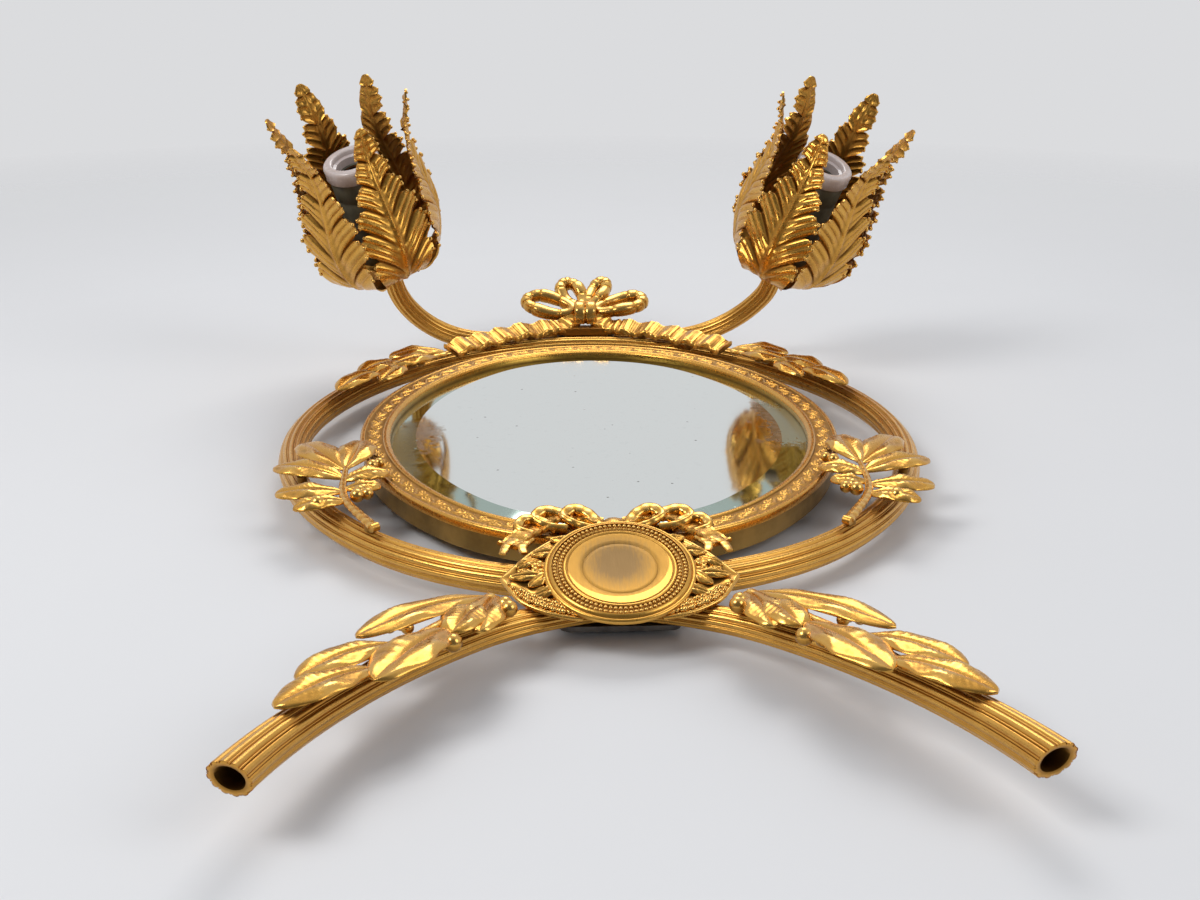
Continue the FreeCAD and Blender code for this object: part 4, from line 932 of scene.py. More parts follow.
class GIRANDOLE_OT_medallion(bpy.types.Operator):
    """Turn the medallion, set its two rows of beads and cast the wings behind it"""
    bl_idname = "girandole.medallion"
    bl_label = "Medallion"

    def execute(self, context):
        place = turn_x(DISC_TILT, DISC_PLACE)
        self.disc(context.scene.girandole_sizes, place)
        self.wings(place)
        dress_node("medallion_saddle", "inner")
        return {"FINISHED"}

    def disc(self, sizes, place):
        """Turned disc: rolled edge, track of the beads, and a dished field with one fine ring."""
        disc = Casting()
        edge = [(0.01, 0.05, 0.3), (27.0, 0.05, 0.3), (27.5, 0.3, 0.5), (27.6, 0.9, 0.75),
                (27.5, 1.5, 0.8), (27.0, 1.95, 0.7), (26.4, 2.0, 0.3), (26.0, 1.75, 0.2),
                (25.7, 2.2, 0.6), (25.2, 2.85, 0.8), (24.7, 2.9, 0.45), (24.5, 2.15, 0.05),
                (20.6, 2.15, 0.05), (20.5, 2.7, 0.45), (20.2, 2.9, 0.75), (19.4, 2.75, 0.55),
                (19.2, 2.45, 0.15), (19.0, 2.45, 0.15), (18.8, 2.72, 0.5)]
        ring_r = 13.5
        dish = []
        for r in (18.4, 17.0, 15.5, 13.75, ring_r, 13.25, 12.0, 10.0, 8.0, 6.0, 4.0, 2.0, 0.02):
            z = 2.72 - 0.7 * (1 - (r / 18.6) ** 2) - 0.16 * (r == ring_r)
            dish.append((r, z, 0.15 if r == ring_r else 0.55))
        radii, heights, relief = zip(*edge, *dish)
        lathe(disc, list(zip(radii, heights)), relief, cols=160)
        for radius, number, start in ((23.55, 82, 0.0), (21.55, 76, 0.5)):
            disc.balls(number, radius, 2.35, sizes.bead_size, 0.95, 6, 10, start)
        disc.place(place)
        disc.piece("medallion", "medal", "medallion_disc")

    def wings(self, place):
        """Pointed wing each side: leaves and blossoms on a plain ground, berries along its foot."""
        rng = np.random.default_rng(12)
        top_line = flow([(0, 22), (18, 22), (31, 13), (42.4, -1.5)], 90)
        low_line = flow([(0, -22), (18, -22), (34, -14.5), (42.4, -1.5)], 90)
        half = Casting()
        x = (14.0 + 28.3 * np.linspace(0, 1, 60) ** 0.8)[:, None]
        v = np.linspace(-1, 1, 44)[None, :]
        top = np.interp(x, top_line[:, 0], top_line[:, 1])
        low = np.interp(x, low_line[:, 0], low_line[:, 1])
        y = (top + low) / 2 + v * (top - low) / 2
        lumps = np.sin(x * 0.62 + 0.8 * np.sin(y * 0.45)) * np.cos(y * 0.58 + 0.6 * np.sin(x * 0.5))
        edge = np.clip((1 - np.abs(v)) * 7, 0, 1) ** 0.5
        z = -1.5 + (1.2 + 0.45 * lumps) * edge
        half.grid(np.stack([x + 0 * v, y, z], -1), 0.30 + 0.25 * lumps + 0.15 * (1 - edge))
        # the underside is set low in the relief: painted shade under the wing
        half.grid(np.stack([x + 0 * v, y, -2.3 + 0 * z], -1), 0.1, turn=True)
        rim = np.vstack([np.stack([x[:, 0], y[:, 0], x[:, 0] * 0 - 1.2], -1),
                         np.stack([x[::-1, 0], y[::-1, -1], x[:, 0] * 0 - 1.2], -1)])
        sweep_rope(half, rim, 1.0, 0.95, 0.6)
        for i in range(25):
            px = 15.5 + 24.0 * i / 24
            py = float(np.interp(px, low_line[:, 0], low_line[:, 1])) + 1.5
            for row in range(3 if i < 20 else 1):
                spot = (px + rng.uniform(-0.4, 0.4) + row * 0.5,
                        py + 1.75 * row + rng.uniform(-0.25, 0.25), -0.1 + 0.22 * row)
                half.ball(spot, rng.uniform(0.8, 1.2), 0.9, 6, 10)
        for cx, cy, size in ((28.8, 3.6, 3.6), (34.6, 1.0, 2.6), (26.0, 12.2, 3.0),
                             (20.8, 17.6, 2.4)):
            for k in range(6):
                a = 2 * math.pi * k / 6 + size
                half.ball((cx + 0.6 * size * math.cos(a), cy + 0.6 * size * math.sin(a), 0.1),
                          0.42 * size, 0.72, 8, 12, squash=0.5)
            half.ball((cx, cy, 0.55), 0.28 * size, 0.95, 6, 10)
        for x0, y0, x1, y1, w in (
                (20, 12, 32, 10.5, 5.5), (24, -1, 40, -2.0, 5), (22, 2, 33, -7, 5.5),
                (19, -7, 31, -12, 5), (29, 8, 37.5, 3.0, 4.5), (15, 17, 25, 19.0, 4)):
            laurel_leaf(half, (x0, y0, -0.5), (x1, y1, -0.2), w, 1.1, 24, arch=0.5, wave=0.25)
        right = half.place(place)
        right.add(right.mirrored())
        right.piece("medallion_foliage", "gilt", "medallion_wings")


# ---- leaves, stems and ribbons ----

def laurel_leaf(cast, base, tip, width, thick, rows, arch=1.0, wave=0.5, hatch=0.0, phase=0.0,
                side_bow=0.0):
    """One laurel leaf: two pillowed halves, a sunk midrib, rolled wavy edges, chased hatching."""
    base, tip = np.asarray(base, float), np.asarray(tip, float)
    along = tip - base
    length = np.linalg.norm(along)
    ahead = along / length
    side = np.cross((0, 0, 1.0), ahead)
    side /= np.linalg.norm(side)
    up = np.cross(ahead, side)
    u = np.linspace(0.0, 1.0, rows)[:, None] ** 0.9
    v = np.sin(np.linspace(-0.5, 0.5, 33) * np.pi)[None, :]
    out = np.abs(v)
    swell = np.sin(np.pi * u ** 1.28) ** 0.52
    half = width / 2 * np.maximum(swell, 0.16 * (1 - u))
    beat = np.sin(2 * np.pi * (2.3 * u + phase))
    ripple = 1 + 0.055 * np.sin(2 * np.pi * (3.2 * u + phase)) * out ** 2
    crown = np.sqrt(np.clip(1 - out ** 3.4, 0, 1))
    body = thick * (0.30 + 0.70 * crown) * (0.45 + 0.55 * swell)
    pillow = 0.38 * thick * np.sin(np.pi * out) ** 1.3 * swell
    groove = 0.62 * thick * bell(v, 0.075) * np.clip(1.1 - u, 0, 1) * swell
    rolled = beat * bell(out - 0.66, 0.22)
    roll = wave * rolled * swell
    veins = 0.14 * thick * np.sin(np.pi * out) * swell * np.cos(
        2 * np.pi * (u * length / 4.6 - out * 1.1)) ** 8
    lines = (hatch * np.sin(2 * np.pi * (u * length / 1.3 + 0.6 * v)) * bell(v - 0.38, 0.26)
             * np.clip(np.sin(np.pi * u) * 2 - 0.7, 0, 1))
    height = body + pillow - groove + roll - veins + lines
    bend = arch * np.sin(np.pi * u)
    sway = side_bow * np.sin(np.pi * u)
    relief = np.clip(0.40 + 0.22 * crown + 0.30 * (pillow - groove * 1.5 - veins * 2.0) / thick
                     + 0.35 * rolled + 0.25 * bell(out - 0.93, 0.07) + 2.0 * lines, 0.0, 1.0)
    across = half * v * ripple + sway
    top = base + u[..., None] * along + across[..., None] * side + (height + bend)[..., None] * up
    low_v = np.sin(np.linspace(0.44, -0.44, 9) * np.pi)[None, :]
    low_across = half * low_v * 0.98 + sway
    low_height = bend + 0.10 * thick + 0 * low_v
    low = base + u[..., None] * along + low_across[..., None] * side + low_height[..., None] * up
    points = np.concatenate([top, low], axis=1)
    # the underside is set low in the relief: painted shade under the leaf
    shade = np.concatenate([relief, np.full(low_across.shape, 0.10)], axis=1)
    cast.grid(points, shade, wrap_cols=True, caps=True, turn=True)


def sweep_rope(cast, line, wide, high, relief=0.6, cols=12, ripple=0.0, pitch=2.2, twist=0.0,
               taper=None, square=1.0):
    """Round, flattened or squarish cord along a line, with cross ribs if asked."""
    line, side, up, run = laid_out(line)
    a = circle(cols)[None, :]
    swell = 1 + ripple * np.sin(2 * np.pi * run / pitch)[:, None] + 0 * a
    if taper is not None:
        swell = swell * np.asarray(taper)[:, None]
    x = wide * swell * np.sign(np.cos(a)) * np.abs(np.cos(a)) ** square
    y = high * swell * np.sign(np.sin(a)) * np.abs(np.sin(a)) ** square
    turn = (twist * run)[:, None]
    c, s = np.cos(turn), np.sin(turn)
    # the upper side of the cord is set high and the lower side low in the relief: painted light
    # from above and painted shade beneath
    shade = np.clip(relief + 0.30 * np.sin(2 * np.pi * run / pitch)[:, None] * (ripple > 0)
                    + 0.25 * np.sin(a) + 0 * swell, 0, 1)
    points = set_off(line, side, up, x * c - y * s, x * s + y * c)
    cast.grid(points, shade, wrap_cols=True, caps=True)


def post(cast, x, y, z, foot_z, radius, relief, cols=14):
    """Short round post down to the piece that carries an ornament."""
    # callers give posts a low relief, which paints them with shade under the ornament they carry
    sweep_rope(cast, flow([(x, y, z), (x, y + 0.01, foot_z)], 4), radius, radius, relief, cols)


def ribbon_strip(cast, line, width, thick, ruffle, pitch, wave, sway, ends, slope=0.0):
    """Ribbon along a line: cross ruffles, rolled edges, a slow wave; one edge may hang lower."""
    line, side, up, run = laid_out(line)
    run = run[:, None]
    v = np.sin(np.linspace(-0.5, 0.5, 21) * np.pi)[None, :]
    share = run / run[-1]
    uneven = 0.25 * np.sin(2 * np.pi * run / (3.3 * pitch))
    beat = np.sin(2 * np.pi * (run / pitch + uneven) + 0.9 * v)
    half = width / 2 * (ends[0] + (ends[1] - ends[0]) * share)
    flare = 1 + 0.07 * np.sin(2 * np.pi * run / (pitch * 1.3) + 1.0 + np.sign(v))
    ribs = ruffle * beat * (0.35 + 0.65 * np.abs(v - 0.2))
    fine = 0.10 * np.sin(2 * np.pi * run / (pitch * 0.23) + 2.2 * v)
    crown = np.sqrt(np.clip(1 - np.abs(v) ** 5, 0, 1))
    lip = 0.5 * bell(np.abs(v) - 0.88, 0.09)
    drift = wave * np.sin(2 * np.pi * run / sway)
    height = thick * (0.3 + 0.7 * crown) + (0.6 * ribs + fine) * crown + lip + (drift + slope * v)
    relief = np.clip(0.42 + 0.34 * ribs / max(ruffle, 0.1) * crown + 0.45 * lip + 1.2 * fine, 0, 1)
    across = half * v * flare
    top = set_off(line, side, up, across, height)
    low_v = np.sin(np.linspace(0.46, -0.46, 9) * np.pi)[None, :]
    low_height = drift + slope * low_v + 0.35 * ruffle * beat[:, :9] - 0.2
    low = set_off(line, side, up, half * low_v, low_height)
    # the underside is set low in the relief: painted shade under the ribbon
    shade = np.concatenate([relief, np.full(low_height.shape, 0.10)], 1)
    cast.grid(np.concatenate([top, low], 1), shade, wrap_cols=True, caps=True, turn=True)


class GIRANDOLE_OT_crest(bpy.types.Operator):
    """Curl the ribbon scrolls over the frame's lower rim, each side of the shell knob"""
    bl_idname = "girandole.crest"
    bl_label = "Crest"

    def execute(self, context):
        crest = Casting()
        crest.add(self.knob())
        side = self.scrolls()
        crest.add(side)
        crest.add(side.mirrored())
        crest.piece("crest", "gilt", "ribbon_crest")
        return {"FINISHED"}

    def knob(self):
        """Fluted shell knob in the middle."""
        profile = [(6.3, 0.15), (6.5, 1.2), (6.2, 2.8), (5.2, 4.6), (3.6, 5.9), (1.8, 6.4),
                   (0.02, 6.5)]
        knob = Casting()
        lathe(knob, profile, [0.2, 0.3, 0.5, 0.7, 0.85, 0.9, 0.95], cols=72)
        shell = knob.points[0].reshape(len(profile), 72, 3)
        a = np.arctan2(shell[..., 1], shell[..., 0])
        away = np.hypot(shell[..., 0], shell[..., 1])
        flutes = 1 - 0.09 * np.abs(np.sin(a * 4.5)) ** 0.6 * (away > 1)
        shell[..., :2] *= flutes[..., None]
        knob.points = [shell.reshape(-1, 3) + np.array([0.0, -139.0, FRAME_TOP])]
        knob.relief = [knob.relief[0] * (0.2 + 0.8 * ((flutes - 0.91) / 0.09)).reshape(-1)]
        return knob

    def scrolls(self):
        """Ribbon, folded loops and forked end right of the knob, by height above the frame."""
        side = Casting()
        ribbon = [(5, -134, 2.2), (14, -129.5, 3.2), (24, -131.5, 2.6), (32, -139, 1.4),
                  (41, -151.5, 0.6)]
        ribbon_strip(side, self.line(ribbon, 70), 8.0, 1.6, 0.5, 4.6, 0.5, 16.0, (0.75, 1.15))
        for loop, wide in (
                ([(5, -137, 1.5), (9, -130, 4.6), (15, -127.2, 6.2), (19, -131, 4.6),
                  (14, -134.5, 2.6), (8, -136.5, 1.4)], 2.4),
                ([(14, -134, 1.6), (20, -128.4, 4.6), (27, -127.6, 5.8), (30.5, -131.8, 4.2),
                  (25, -135.2, 2.2), (18, -135.6, 1.2)], 2.3),
                ([(22, -136, 1.2), (29, -132.6, 3.8), (35, -133.4, 4.4), (37, -138.2, 2.6),
                  (31, -141, 1.2)], 2.0)):
            sweep_rope(side, self.line(loop, 60), wide, 1.7, 0.62, 18, ripple=0.035, pitch=4.2,
                       twist=0.02, square=0.7)
        for tip in ([(35, -143, 0.8), (40.5, -150, 1.2), (42.8, -158, 0.8)],
                    [(33.5, -144.5, 0.8), (35.5, -152, 1.0), (34.5, -157, 0.4)]):
            sweep_rope(side, self.line(tip, 22), 3.2, 1.3, 0.6, 14, ripple=0.03, pitch=3.4,
                       square=0.7, taper=np.linspace(1.0, 0.45, 22))
        return side

    def line(self, points, count):
        return flow([(x, y, FRAME_TOP + z) for x, y, z in points], count)


TAIL_SEAT = RING_Z + RING_R + SEAT    # the ornaments' seat on top of the ring


class GIRANDOLE_OT_bow(bpy.types.Operator):
    """Tie the bow of four loops and let its two tails fall over the ring"""
    bl_idname = "girandole.bow"
    bl_label = "Bow and tails"

    def execute(self, context):
        bow = Casting()
        for long_r, short_r, turn, lift, phase in (
                (14.4, 7.4, 72.0, 1.2, 0.0), (14.4, 7.4, -72.0, 1.2, 1.7),
                (10.6, 6.0, 24.0, 2.2, 0.9), (10.6, 4.4, -24.0, 2.6, 2.6)):
            self.loop(bow, long_r, short_r, turn, lift, phase)
        for x, lean in ((-3.1, -0.8), (2.9, 0.9)):
            band = flow([(x - lean, 20.8, 2.4), (x, 17.6, 7.4), (x + lean * 0.4, 13.5, 8.4),
                         (x, 9.6, 7.0), (x + lean, 6.4, 1.6)], 34)
            sweep_rope(bow, band, 3.4, 2.0, 0.62, 20, ripple=0.03, pitch=4.2, square=0.75)
        # the core under the loops is given a low relief: painted shade among the loops
        bow.ball((0, 13.6, 3.2), 7.6, 0.35, 12, 20, squash=0.6)
        bow.place(turn_x(24.0, (0.0, 174.7, TAIL_SEAT + 1.0)))
        for sign in (-1, 1):
            ribbon = [(sign * 5.0, 188.0, 8.6), (sign * 8.0, 181.5, 5.4), (sign * 14.0, 176.5, 3.4),
                      (sign * 24.0, 171.6, 3.2)]
            ribbon_strip(bow, self.line(ribbon, 34), 10.5, 2.6, 0.7, 5.2, 0.5, 9.0, (0.85, 1.1),
                         slope=1.6 * sign)
        # the foot under the bow is given a low relief: painted shade under the bow
        foot = [[(x, y, TAIL_SEAT + z) for x, y in ((-19, 172), (19, 172), (19, 181), (-19, 181))]
                for z in (0.1, 3.6)]
        bow.grid(foot, 0.15, wrap_cols=True, caps=True)
        bow.piece("bow", "gilt", "ribbon_bow")
        self.tails()
        return {"FINISHED"}

    def tails(self):
        tail = Casting()
        ribbon = [(20, 173.2, 3.2), (30, 168.6, 3.4), (42, 161.0, 3.6), (56, 149.0, 3.2),
                  (69, 136.2, 3.4), (77, 127.6, 2.6)]
        ribbon_strip(tail, self.line(ribbon, 170), 12.5, 2.7, 0.5, 5.6, 0.9, 15.0, (1.0, 0.9),
                     slope=1.9)
        for x, y in ((32.5, 164.5), (58.0, 143.0)):
            post(tail, x, y, TAIL_SEAT + 3.6, TAIL_SEAT + 0.1, 2.6, 0.2, 12)
        tail.pair("tail", "gilt", "ribbon_tail")

    def line(self, points, count):
        return flow([(x, y, TAIL_SEAT + z) for x, y, z in points], count)

    def loop(self, cast, long_r, short_r, turn, lift, phase):
        """One padded loop of folded ribbon that leaves the knot and comes back."""
        a = np.linspace(-0.5 * math.pi, 1.5 * math.pi, 210)
        outward = (np.sin(a) + 1) / 2
        x = short_r * np.cos(a) * (0.70 + 0.34 * outward)
        y = 2 * long_r * outward + 7.5
        z = 3.4 + lift * outward + 0.8 * np.cos(a) + 0.5 * np.sin(3 * a + phase)
        c, s = math.cos(math.radians(turn)), math.sin(math.radians(turn))
        line = np.stack([x * c - y * s, x * s + y * c + 14.0, z], -1)
        share = np.linspace(0, 1, 210)
        # the creases of each fold are set low in the relief: painted shade in the folds
        creases = sum(bell(share - at - 0.012 * math.sin(7 * at + phase), 0.012)
                      for at in (0.18, 0.34, 0.42, 0.50, 0.58, 0.66, 0.84))
        swell = 1 + 0.07 * np.sin(5 * a + phase) * outward
        neck = 0.80 + 0.20 * np.clip(outward * 2.0, 0, 1)
        sweep_rope(cast, line, 3.7, 3.7, (0.66 - 0.5 * creases)[:, None], 28, square=0.8,
                   taper=neck * swell * (1 - 0.09 * creases))


SPRAY_Z = FRAME_TOP + SEAT    # seat of the sprays that lie over the frame's rim


class GIRANDOLE_OT_sprays(bpy.types.Operator):
    """Lay the laurel sprays on the ring, over the gap and along the legs"""
    bl_idname = "girandole.sprays"
    bl_label = "Laurel sprays"

    def execute(self, context):
        self.side_spray()
        self.top_spray()
        self.leg_spray()
        return {"FINISHED"}

    def leaves(self, cast, rows, z):
        """Leaves from (base x, y, height) to (tip x, y, height), with width, arch and hatching."""
        for i, (x0, y0, z0, x1, y1, z1, width, arch, hatch) in enumerate(rows):
            laurel_leaf(cast, (x0, y0, z + z0), (x1, y1, z + z1), width, 2.1, 44, arch, hatch=hatch,
                        phase=0.37 * i, side_bow=0.9 * (-1) ** i)

    def stem(self, cast, points, z, count, wide, high, cols):
        line = flow([(x, y, z + h) for x, y, h in points], count)
        sweep_rope(cast, line, wide, high, 0.55, cols, ripple=0.04, pitch=5.0,
                   taper=np.linspace(1.0, 0.4, count))

    def berries(self, cast, rows, z, share):
        for x, y, r in rows:
            cast.ball((x, y, z + r * share), r, 0.85, 12, 18)

    def side_spray(self):
        z = SPRAY_Z
        spray = Casting()
        self.leaves(spray, [
            (112, -66, 1.4, 109.3, -31, 1.6, 17, 1.2, 0.04),
            (113, -66, 1.0, 135.5, -30, 0.4, 18, 1.6, 0.0),
            (111, -77, 0.8, 143.5, -62, 0.8, 17.5, 1.5, 0.0),
            (110, -92, 0.5, 138, -94, 0.4, 16, 1.3, 0.05),
            (107, -102, 0.3, 128, -110.5, 0.3, 13, 0.9, 0.0),
            (111, -80, 1.0, 93, -70, 0.9, 14, 0.9, 0.04),
            (110, -90, 0.8, 95, -86, 0.7, 11, 0.7, 0.0)], z)
        self.stem(spray, [(93.5, -130, 0.9), (100, -118.5, 1.2), (107, -104, 1.3),
                          (110.5, -90, 1.5), (112, -66, 2.2), (111, -54, 2.6)], z, 90, 2.5, 1.5, 14)
        cut_end = flow([(92.2, -129.2, z + 0.8), (94.6, -131.6, z + 0.8)], 6)
        sweep_rope(spray, cut_end, 1.8, 1.8, 0.4, 14)
        self.berries(spray, [
            (103.5, -99, 3.0), (99.6, -96.5, 2.6), (103, -93.6, 2.6), (118.5, -107.0, 3.1),
            (101, -62, 2.6), (98.4, -58.6, 2.3), (124, -57, 2.0), (126.4, -53, 1.8)], z + 0.6, 0.55)
        for x, y in ((130.5, -70.0), (95.5, -126.0)):
            post(spray, x, y, z + 0.5, RING_Z + 6.2, 2.3, 0.3)
        spray.pair("side_laurel", "gilt", "side_spray")

    def top_spray(self):
        z = SPRAY_Z
        spray = Casting()
        self.leaves(spray, [
            (79, 122, 0.9, 110, 111, 1.6, 16, 1.9, 0.05),
            (84, 113, 1.2, 110, 91, 1.3, 15, 1.8, 0.0),
            (101, 102, 1.2, 123, 79, 1.5, 16, 1.9, 0.04),
            (100, 97, 0.8, 110, 69, 0.8, 13, 1.4, 0.0),
            (111, 85, 1.0, 130.5, 53, 0.8, 15, 1.7, 0.05)], z)
        self.stem(spray, [(80, 120, 1.0), (92, 109, 1.6), (103, 97, 1.8), (114, 80, 1.6)],
                  z, 60, 2.3, 1.6, 12)
        self.berries(spray, [(92, 101, 2.6), (95.8, 98.2, 2.3), (108.5, 93, 2.5), (117, 74, 2.3),
                             (97, 119, 2.2)], z + 0.8, 0.6)
        post(spray, 104.5, 112.5, z + 0.8, RING_Z + 6.2, 2.1, 0.3)
        spray.pair("top_laurel", "gilt", "top_spray")

    def leg_spray(self):
        """The leg's spray is drawn flat, in the plane of the leg, and then tilted with it."""
        z = LEG_R0 + (LEG_R1 - LEG_R0) * 0.8 + SEAT
        place = turn_x(-LEG_RISE, LEG_ORIGIN)
        back = np.array(place.inverted())

        def flat(x, y):
            spot = back @ np.array([x, y, LEG_ORIGIN[2], 1.0])
            return spot[0], spot[1]

        spray = Casting()
        self.leaves(spray, [
            (*flat(x0, y0), h0, *flat(x1, y1), h1, width, arch, hatch)
            for x0, y0, h0, x1, y1, h1, width, arch, hatch in (
                (45, -190, 0.3, 49, -226, 0.2, 16, 1.3, 0.05),
                (51, -199, 0.6, 58, -228, 0.8, 16, 1.3, 0.0),
                (47, -191, 0.6, 89, -231, 1.1, 16.5, 2.0, 0.0),
                (60, -225, 1.3, 79, -268, 0.9, 20.5, 2.2, 0.10),
                (74, -237, 0.9, 103, -266, 1.0, 16, 1.8, 0.12),
                (80, -257, 0.7, 106, -286, 0.5, 17, 1.9, 0.12))], z)
        self.stem(spray, [(*flat(x, y), h) for x, y, h in (
            (46, -191, 1.2), (55, -206, 1.6), (62, -219, 1.9), (74, -238, 1.8), (85, -258, 1.3))],
            z, 60, 2.3, 1.4, 12)
        self.berries(spray, [(*flat(x, y), r) for x, y, r in (
            (41, -201, 2.7), (39.5, -206.5, 3.0), (57, -238.5, 3.1), (63.0, -240.5, 3.1),
            (75.5, -218.5, 2.6), (79, -221.5, 2.2), (73, -222.5, 2.3))], z + 0.5, 0.5)
        x, y, _ = walk(LEG_PATH, [62.0])[0]
        post(spray, x, y, z + 0.8, LEG_R0 + 1.0, 2.5, 0.3)
        spray.place(place)
        spray.pair("leg_laurel", "gilt", "leg_spray")


# ---- lights ----

PETALS = 6
PETAL_T = 1.2
PETAL_LAYER = 2.0     # inner petals stand this far inside the outer ones
PETAL_PROFILE = [(8.6, 6.0), (29.6, 16.0), (37.0, 38.4), (35.4, 56.8), (32.0, 77.3), (32.4, 94.6),
                 (38.5, 114.0)]
PETAL_STATIONS = [0.0, 0.05, 0.12, 0.22, 0.36, 0.50, 0.65, 0.80, 0.93, 1.0]
PETAL_HALVES = [7.5, 12.5, 18.0, 20.0, 18.4, 14.2, 10.0, 7.4, 5.6, 4.0]    # half widths there
PETAL_LEANS = {"left": (2.5, -3.0, 1.5, 0.0, 3.0, -1.0), "right": (0.0, 2.0, -2.0, 2.5, 1.0, 3.5)}
HOLDER_TOP = 72.0
SHELL_R, SHELL_OUTER_R, SHELL_L = 6.95, 7.4, 22.0
THREAD_PITCH = 2.82


def light_place(side):
    """Place of a light on its arm's end, with +Z along the tulip."""
    pieces = ARM_PATHS[side]
    x, y, heading = walk(pieces, [pieces_length(pieces)])[0]
    m = turn_x(90 + ARM_LEAN, ARM_ORIGIN)
    base = m @ Vector((x, y, 0))
    axis = m.to_3x3() @ Vector((math.cos(heading), math.sin(heading), 0))
    if side == "left":
        base.x, axis.x = -base.x, -axis.x
    turn = Vector((0, 0, 1)).rotation_difference(axis).to_matrix().to_4x4()
    return Matrix.Translation(base) @ turn


def petal_wall():
    """Wall line of a petal by its length: radius, height and outward normal."""
    line = flow(PETAL_PROFILE, 160)
    ahead = directions(line)
    return run_along(line), line, np.c_[ahead[:, 1], -ahead[:, 0]]
def acanthus(cast, inset, angle, relief_h, lean, sway):
    """One petal: overlapping lobes of three fingers, with veins that bend out from the midrib."""
    run, line, normal = petal_wall()
    total = run[-1]
    a = np.linspace(0.0, 1.0, 240)[:, None]
    side_r = np.sin(np.linspace(-0.5, 0.5, 51) * np.pi)[None, :]
    r = np.abs(side_r)
    phase = 6.4 * a ** 1.10
    part = phase - np.floor(phase)
    finger = np.abs(np.sin(3 * np.pi * part))
    bump = np.sin(np.pi * part ** 0.8) ** 0.5
    closing = np.clip((1.0 - a) / 0.05, 0, 1) ** 0.5
    reach = np.interp(a, PETAL_STATIONS, PETAL_HALVES) * (0.64 + 0.31 * bump + 0.06 * finger ** 0.6)
    reach *= 0.2 + 0.8 * closing
    out = r * reach
    bend = 4.3 * np.clip(a * 11, 0, 1) * (1 - a ** 2)
    along = np.clip(total * 0.985 * a + bend * out ** 0.62, 0, total - 0.1)
    across = np.sign(side_r) * out
    gate = np.clip(r * 3.0 - 0.2, 0, 1)
    lobe = np.sin(np.pi * part) ** 0.5
    mid = bell(across, 2.0 - 1.2 * a) * (1.3 - 0.6 * a)
    edge = np.clip((r - 0.86) / 0.14, 0, 1)
    ridge = finger ** 0.7 - 0.55
    height = relief_h * (1.2 * lobe * gate * (1.1 - 0.35 * r) + 0.85 * ridge * gate
                         + (part - 0.5) * gate + 1.2 * mid + 0.35 * edge * finger)
    curl = 2.6 * r ** 3 * lobe * np.clip(reach / 14, 0.3, 1)
    # lobes, ridges, midrib and finger tips are set high and the creases between lobes low in the
    # relief, as painted highlight and shade
    shade = np.clip(0.20 + 0.36 * lobe * gate + 0.44 * ridge * gate + 0.40 * mid
                    + 0.40 * edge * finger, 0, 1)
    radius = np.interp(along, run, line[:, 0])
    z = np.interp(along, run, line[:, 1])
    nr = np.interp(along, run, normal[:, 0])
    nz = np.interp(along, run, normal[:, 1])
    tall = along / total
    radius = radius - inset * np.clip(tall * 6, 0, 1) + lean * tall ** 3
    theta = across / np.maximum(radius, 9.0) + math.radians(angle) + math.radians(sway) * tall ** 2
    taper = np.clip(tall * 8, 0.35, 1) * np.clip((1 - tall) * 14, 0.25, 1)

    def skin(offset, wave):
        h = offset + wave * taper
        rr = radius + nr * h
        return np.stack([rr * np.cos(theta), rr * np.sin(theta), z + nz * h], -1)

    outer = skin(0.0, height + curl)
    inner = skin(-PETAL_T * 0.8, height * 0.8 + curl)[:, ::-1]
    points = np.concatenate([outer, inner], 1)
    # the inner face of the petal is set low in the relief: painted shade inside the tulip
    relief = np.concatenate([shade, (0.34 + 0.18 * ridge * gate * lobe + 0 * shade)[:, ::-1]], 1)
    cast.grid(points, relief, wrap_cols=True, caps=True)
    tips = (finger[1:-1, 0] >= finger[:-2, 0]) & (finger[1:-1, 0] > finger[2:, 0])
    for row in np.flatnonzero(tips & (a[1:-1, 0] > 0.02)) + 1:
        for rim in (outer[row, 0], outer[row, -1]):
            inward = outer[row, outer.shape[1] // 2] - rim
            cast.ball(rim + 0.3 * inward / reach[row, 0], 0.6 + 0.035 * reach[row, 0], 0.92, 6, 8)


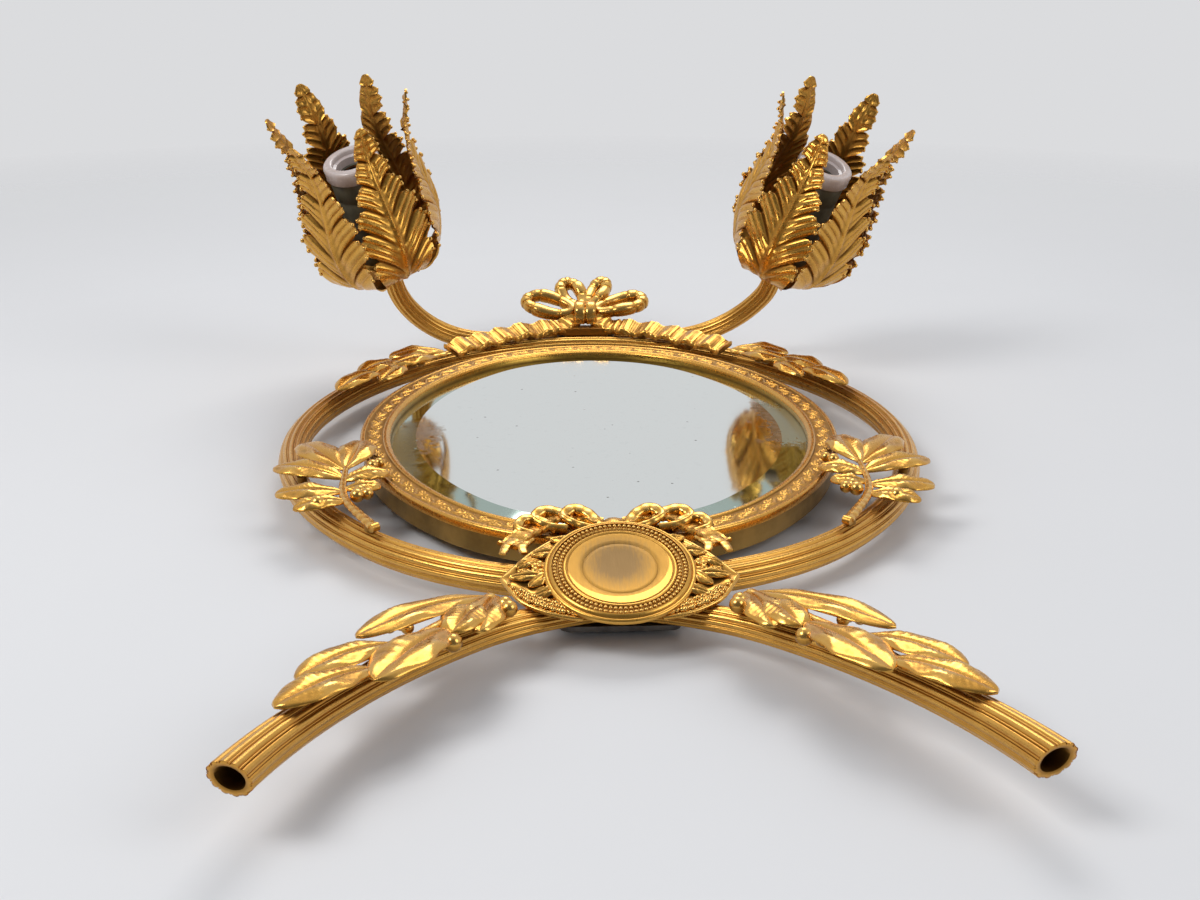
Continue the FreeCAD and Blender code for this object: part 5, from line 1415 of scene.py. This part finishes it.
class GIRANDOLE_OT_lights(bpy.types.Operator):
    """Open the two tulips of acanthus petals round their lampholders"""
    bl_idname = "girandole.lights"
    bl_label = "Lights"

    def execute(self, context):
        relief = context.scene.girandole_sizes.petal_relief
        for side in ("left", "right"):
            place = light_place(side)
            for i in range(PETALS):
                petal = Casting()
                acanthus(petal, PETAL_LAYER * (i % 2), 360.0 / PETALS * i, relief,
                         PETAL_LEANS[side][i], 1.5 * (-1) ** i)
                petal.place(place)
                petal.piece("%s_acanthus_%d" % (side, i + 1), "gilt", "%s_petal_%d" % (side, i + 1))
            self.dish(side, place)
            self.holder(side, place)
            self.porcelain(side, place)
            self.shell(side, place)
            dress_node(side + "_centre_contact", "shell")
        return {"FINISHED"}

    def dish(self, side, place):
        dish = Casting()
        lathe(dish, [(5.6, 0.0), (6.3, 0.6), (5.9, 1.4), (6.6, 2.4), (7.4, 3.6), (11.6, 4.0),
                     (12.4, 4.5), (12.5, 5.2), (12.2, 5.8), (11.6, 6.0), (2.2, 6.0)],
              [0.3, 0.7, 0.2, 0.4, 0.3, 0.4, 0.7, 0.8, 0.6, 0.4, 0.1], 72)
        dish.balls(18, 11.4, 4.2, 1.15, 0.85, 7, 10)
        dish.place(place)
        dish.piece(side + "_dish", "gilt", side + "_petal_dish")

    def holder(self, side, place):
        body = Casting()
        top = HOLDER_TOP
        profile = [(5.0, 6.0), (5.0, 13.0), (6.2, 14.4), (13.6, 18.4), (14.4, 19.6), (14.4, 30.0),
                   (14.0, 30.6), (14.0, 32.0), (14.4, 32.6), (14.4, 58.0), (13.9, 58.8),
                   (13.9, 60.6), (14.4, 61.4), (14.4, top - 0.6), (13.9, top), (7.5, top),
                   (7.45, top - SHELL_L)]
        lathe(body, profile, np.linspace(0.3, 0.6, len(profile)), 96)
        body.place(place)
        body.piece(side + "_holder", "holder", side + "_lampholder", slot="holder_paint")

    def porcelain(self, side, place):
        ring = Casting()
        profile = [(9.0, 0.05), (15.3, 0.05), (15.6, 0.6), (15.6, 6.0), (15.3, 7.2), (14.6, 7.85),
                   (13.6, 8.0), (11.6, 8.0), (10.8, 7.8), (10.5, 7.2), (10.4, 5.2), (9.6, 4.8),
                   (9.0, 4.4), (9.0, 0.05)]
        lathe(ring, [(r, HOLDER_TOP + h) for r, h in profile], [0.5] * len(profile), 96)
        ring.place(place)
        ring.piece(side + "_porcelain", "porcelain", side + "_porcelain_ring", slot="porcelain")

    def shell(self, side, place):
        """Threaded brass shell, and the plain tube outside it."""
        shell = Casting()
        rise = np.linspace(0, SHELL_L, 110)[:, None]
        a = circle(72)[None, :]
        thread = 0.5 + 0.5 * np.sin(2 * np.pi * (rise / THREAD_PITCH) - a)
        r = SHELL_R + 0.05 - 0.55 * thread ** 1.4
        foot = HOLDER_TOP - SHELL_L
        inner = np.stack([r * np.cos(a), r * np.sin(a), foot + rise + 0 * a], -1)
        shell.grid(inner, 0.3 + 0.5 * (r - 6.4) / 0.6, wrap_cols=True, turn=True)
        ends = rise[[0, -1]]
        outer = np.stack([SHELL_OUTER_R * np.cos(a) + 0 * ends,
                          SHELL_OUTER_R * np.sin(a) + 0 * ends, foot + ends + 0 * a], -1)
        shell.grid(outer, 0.3, wrap_cols=True)
        shell.place(place)
        shell.piece(side + "_shell", "shell", side + "_screw_shell", slot="shell_brass")


# ---- panel and registration ----

OPERATORS = (
    GIRANDOLE_OT_stage, GIRANDOLE_OT_tubes, GIRANDOLE_OT_frame_rim, GIRANDOLE_OT_glass,
    GIRANDOLE_OT_back, GIRANDOLE_OT_medallion, GIRANDOLE_OT_crest, GIRANDOLE_OT_bow,
    GIRANDOLE_OT_sprays, GIRANDOLE_OT_lights)


class GIRANDOLE_PT_panel(bpy.types.Panel):
    """Sizes, colours and pieces of the girandole mirror"""
    bl_idname = "GIRANDOLE_PT_panel"
    bl_label = "Girandole Mirror"
    bl_space_type = "VIEW_3D"
    bl_region_type = "UI"
    bl_category = "Girandole"

    def draw(self, context):
        layout = self.layout
        for group in (context.scene.girandole_sizes, context.scene.girandole_colours):
            column = layout.column()
            for name in group.__annotations__:
                column.prop(group, name)
        for operator in OPERATORS:
            layout.operator(operator.bl_idname)


CLASSES = (GirandoleSizes, GirandoleColours, *OPERATORS, GIRANDOLE_PT_panel)


def register():
    for cls in CLASSES:
        bpy.utils.register_class(cls)
    bpy.types.Scene.girandole_sizes = bpy.props.PointerProperty(type=GirandoleSizes)
    bpy.types.Scene.girandole_colours = bpy.props.PointerProperty(type=GirandoleColours)


def unregister():
    del bpy.types.Scene.girandole_colours
    del bpy.types.Scene.girandole_sizes
    for cls in reversed(CLASSES):
        bpy.utils.unregister_class(cls)


def main():
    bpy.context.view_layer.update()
    register()
    for operator in OPERATORS:
        getattr(bpy.ops.girandole, operator.bl_idname.split(".")[1])()


if __name__ == "__main__":
    main()
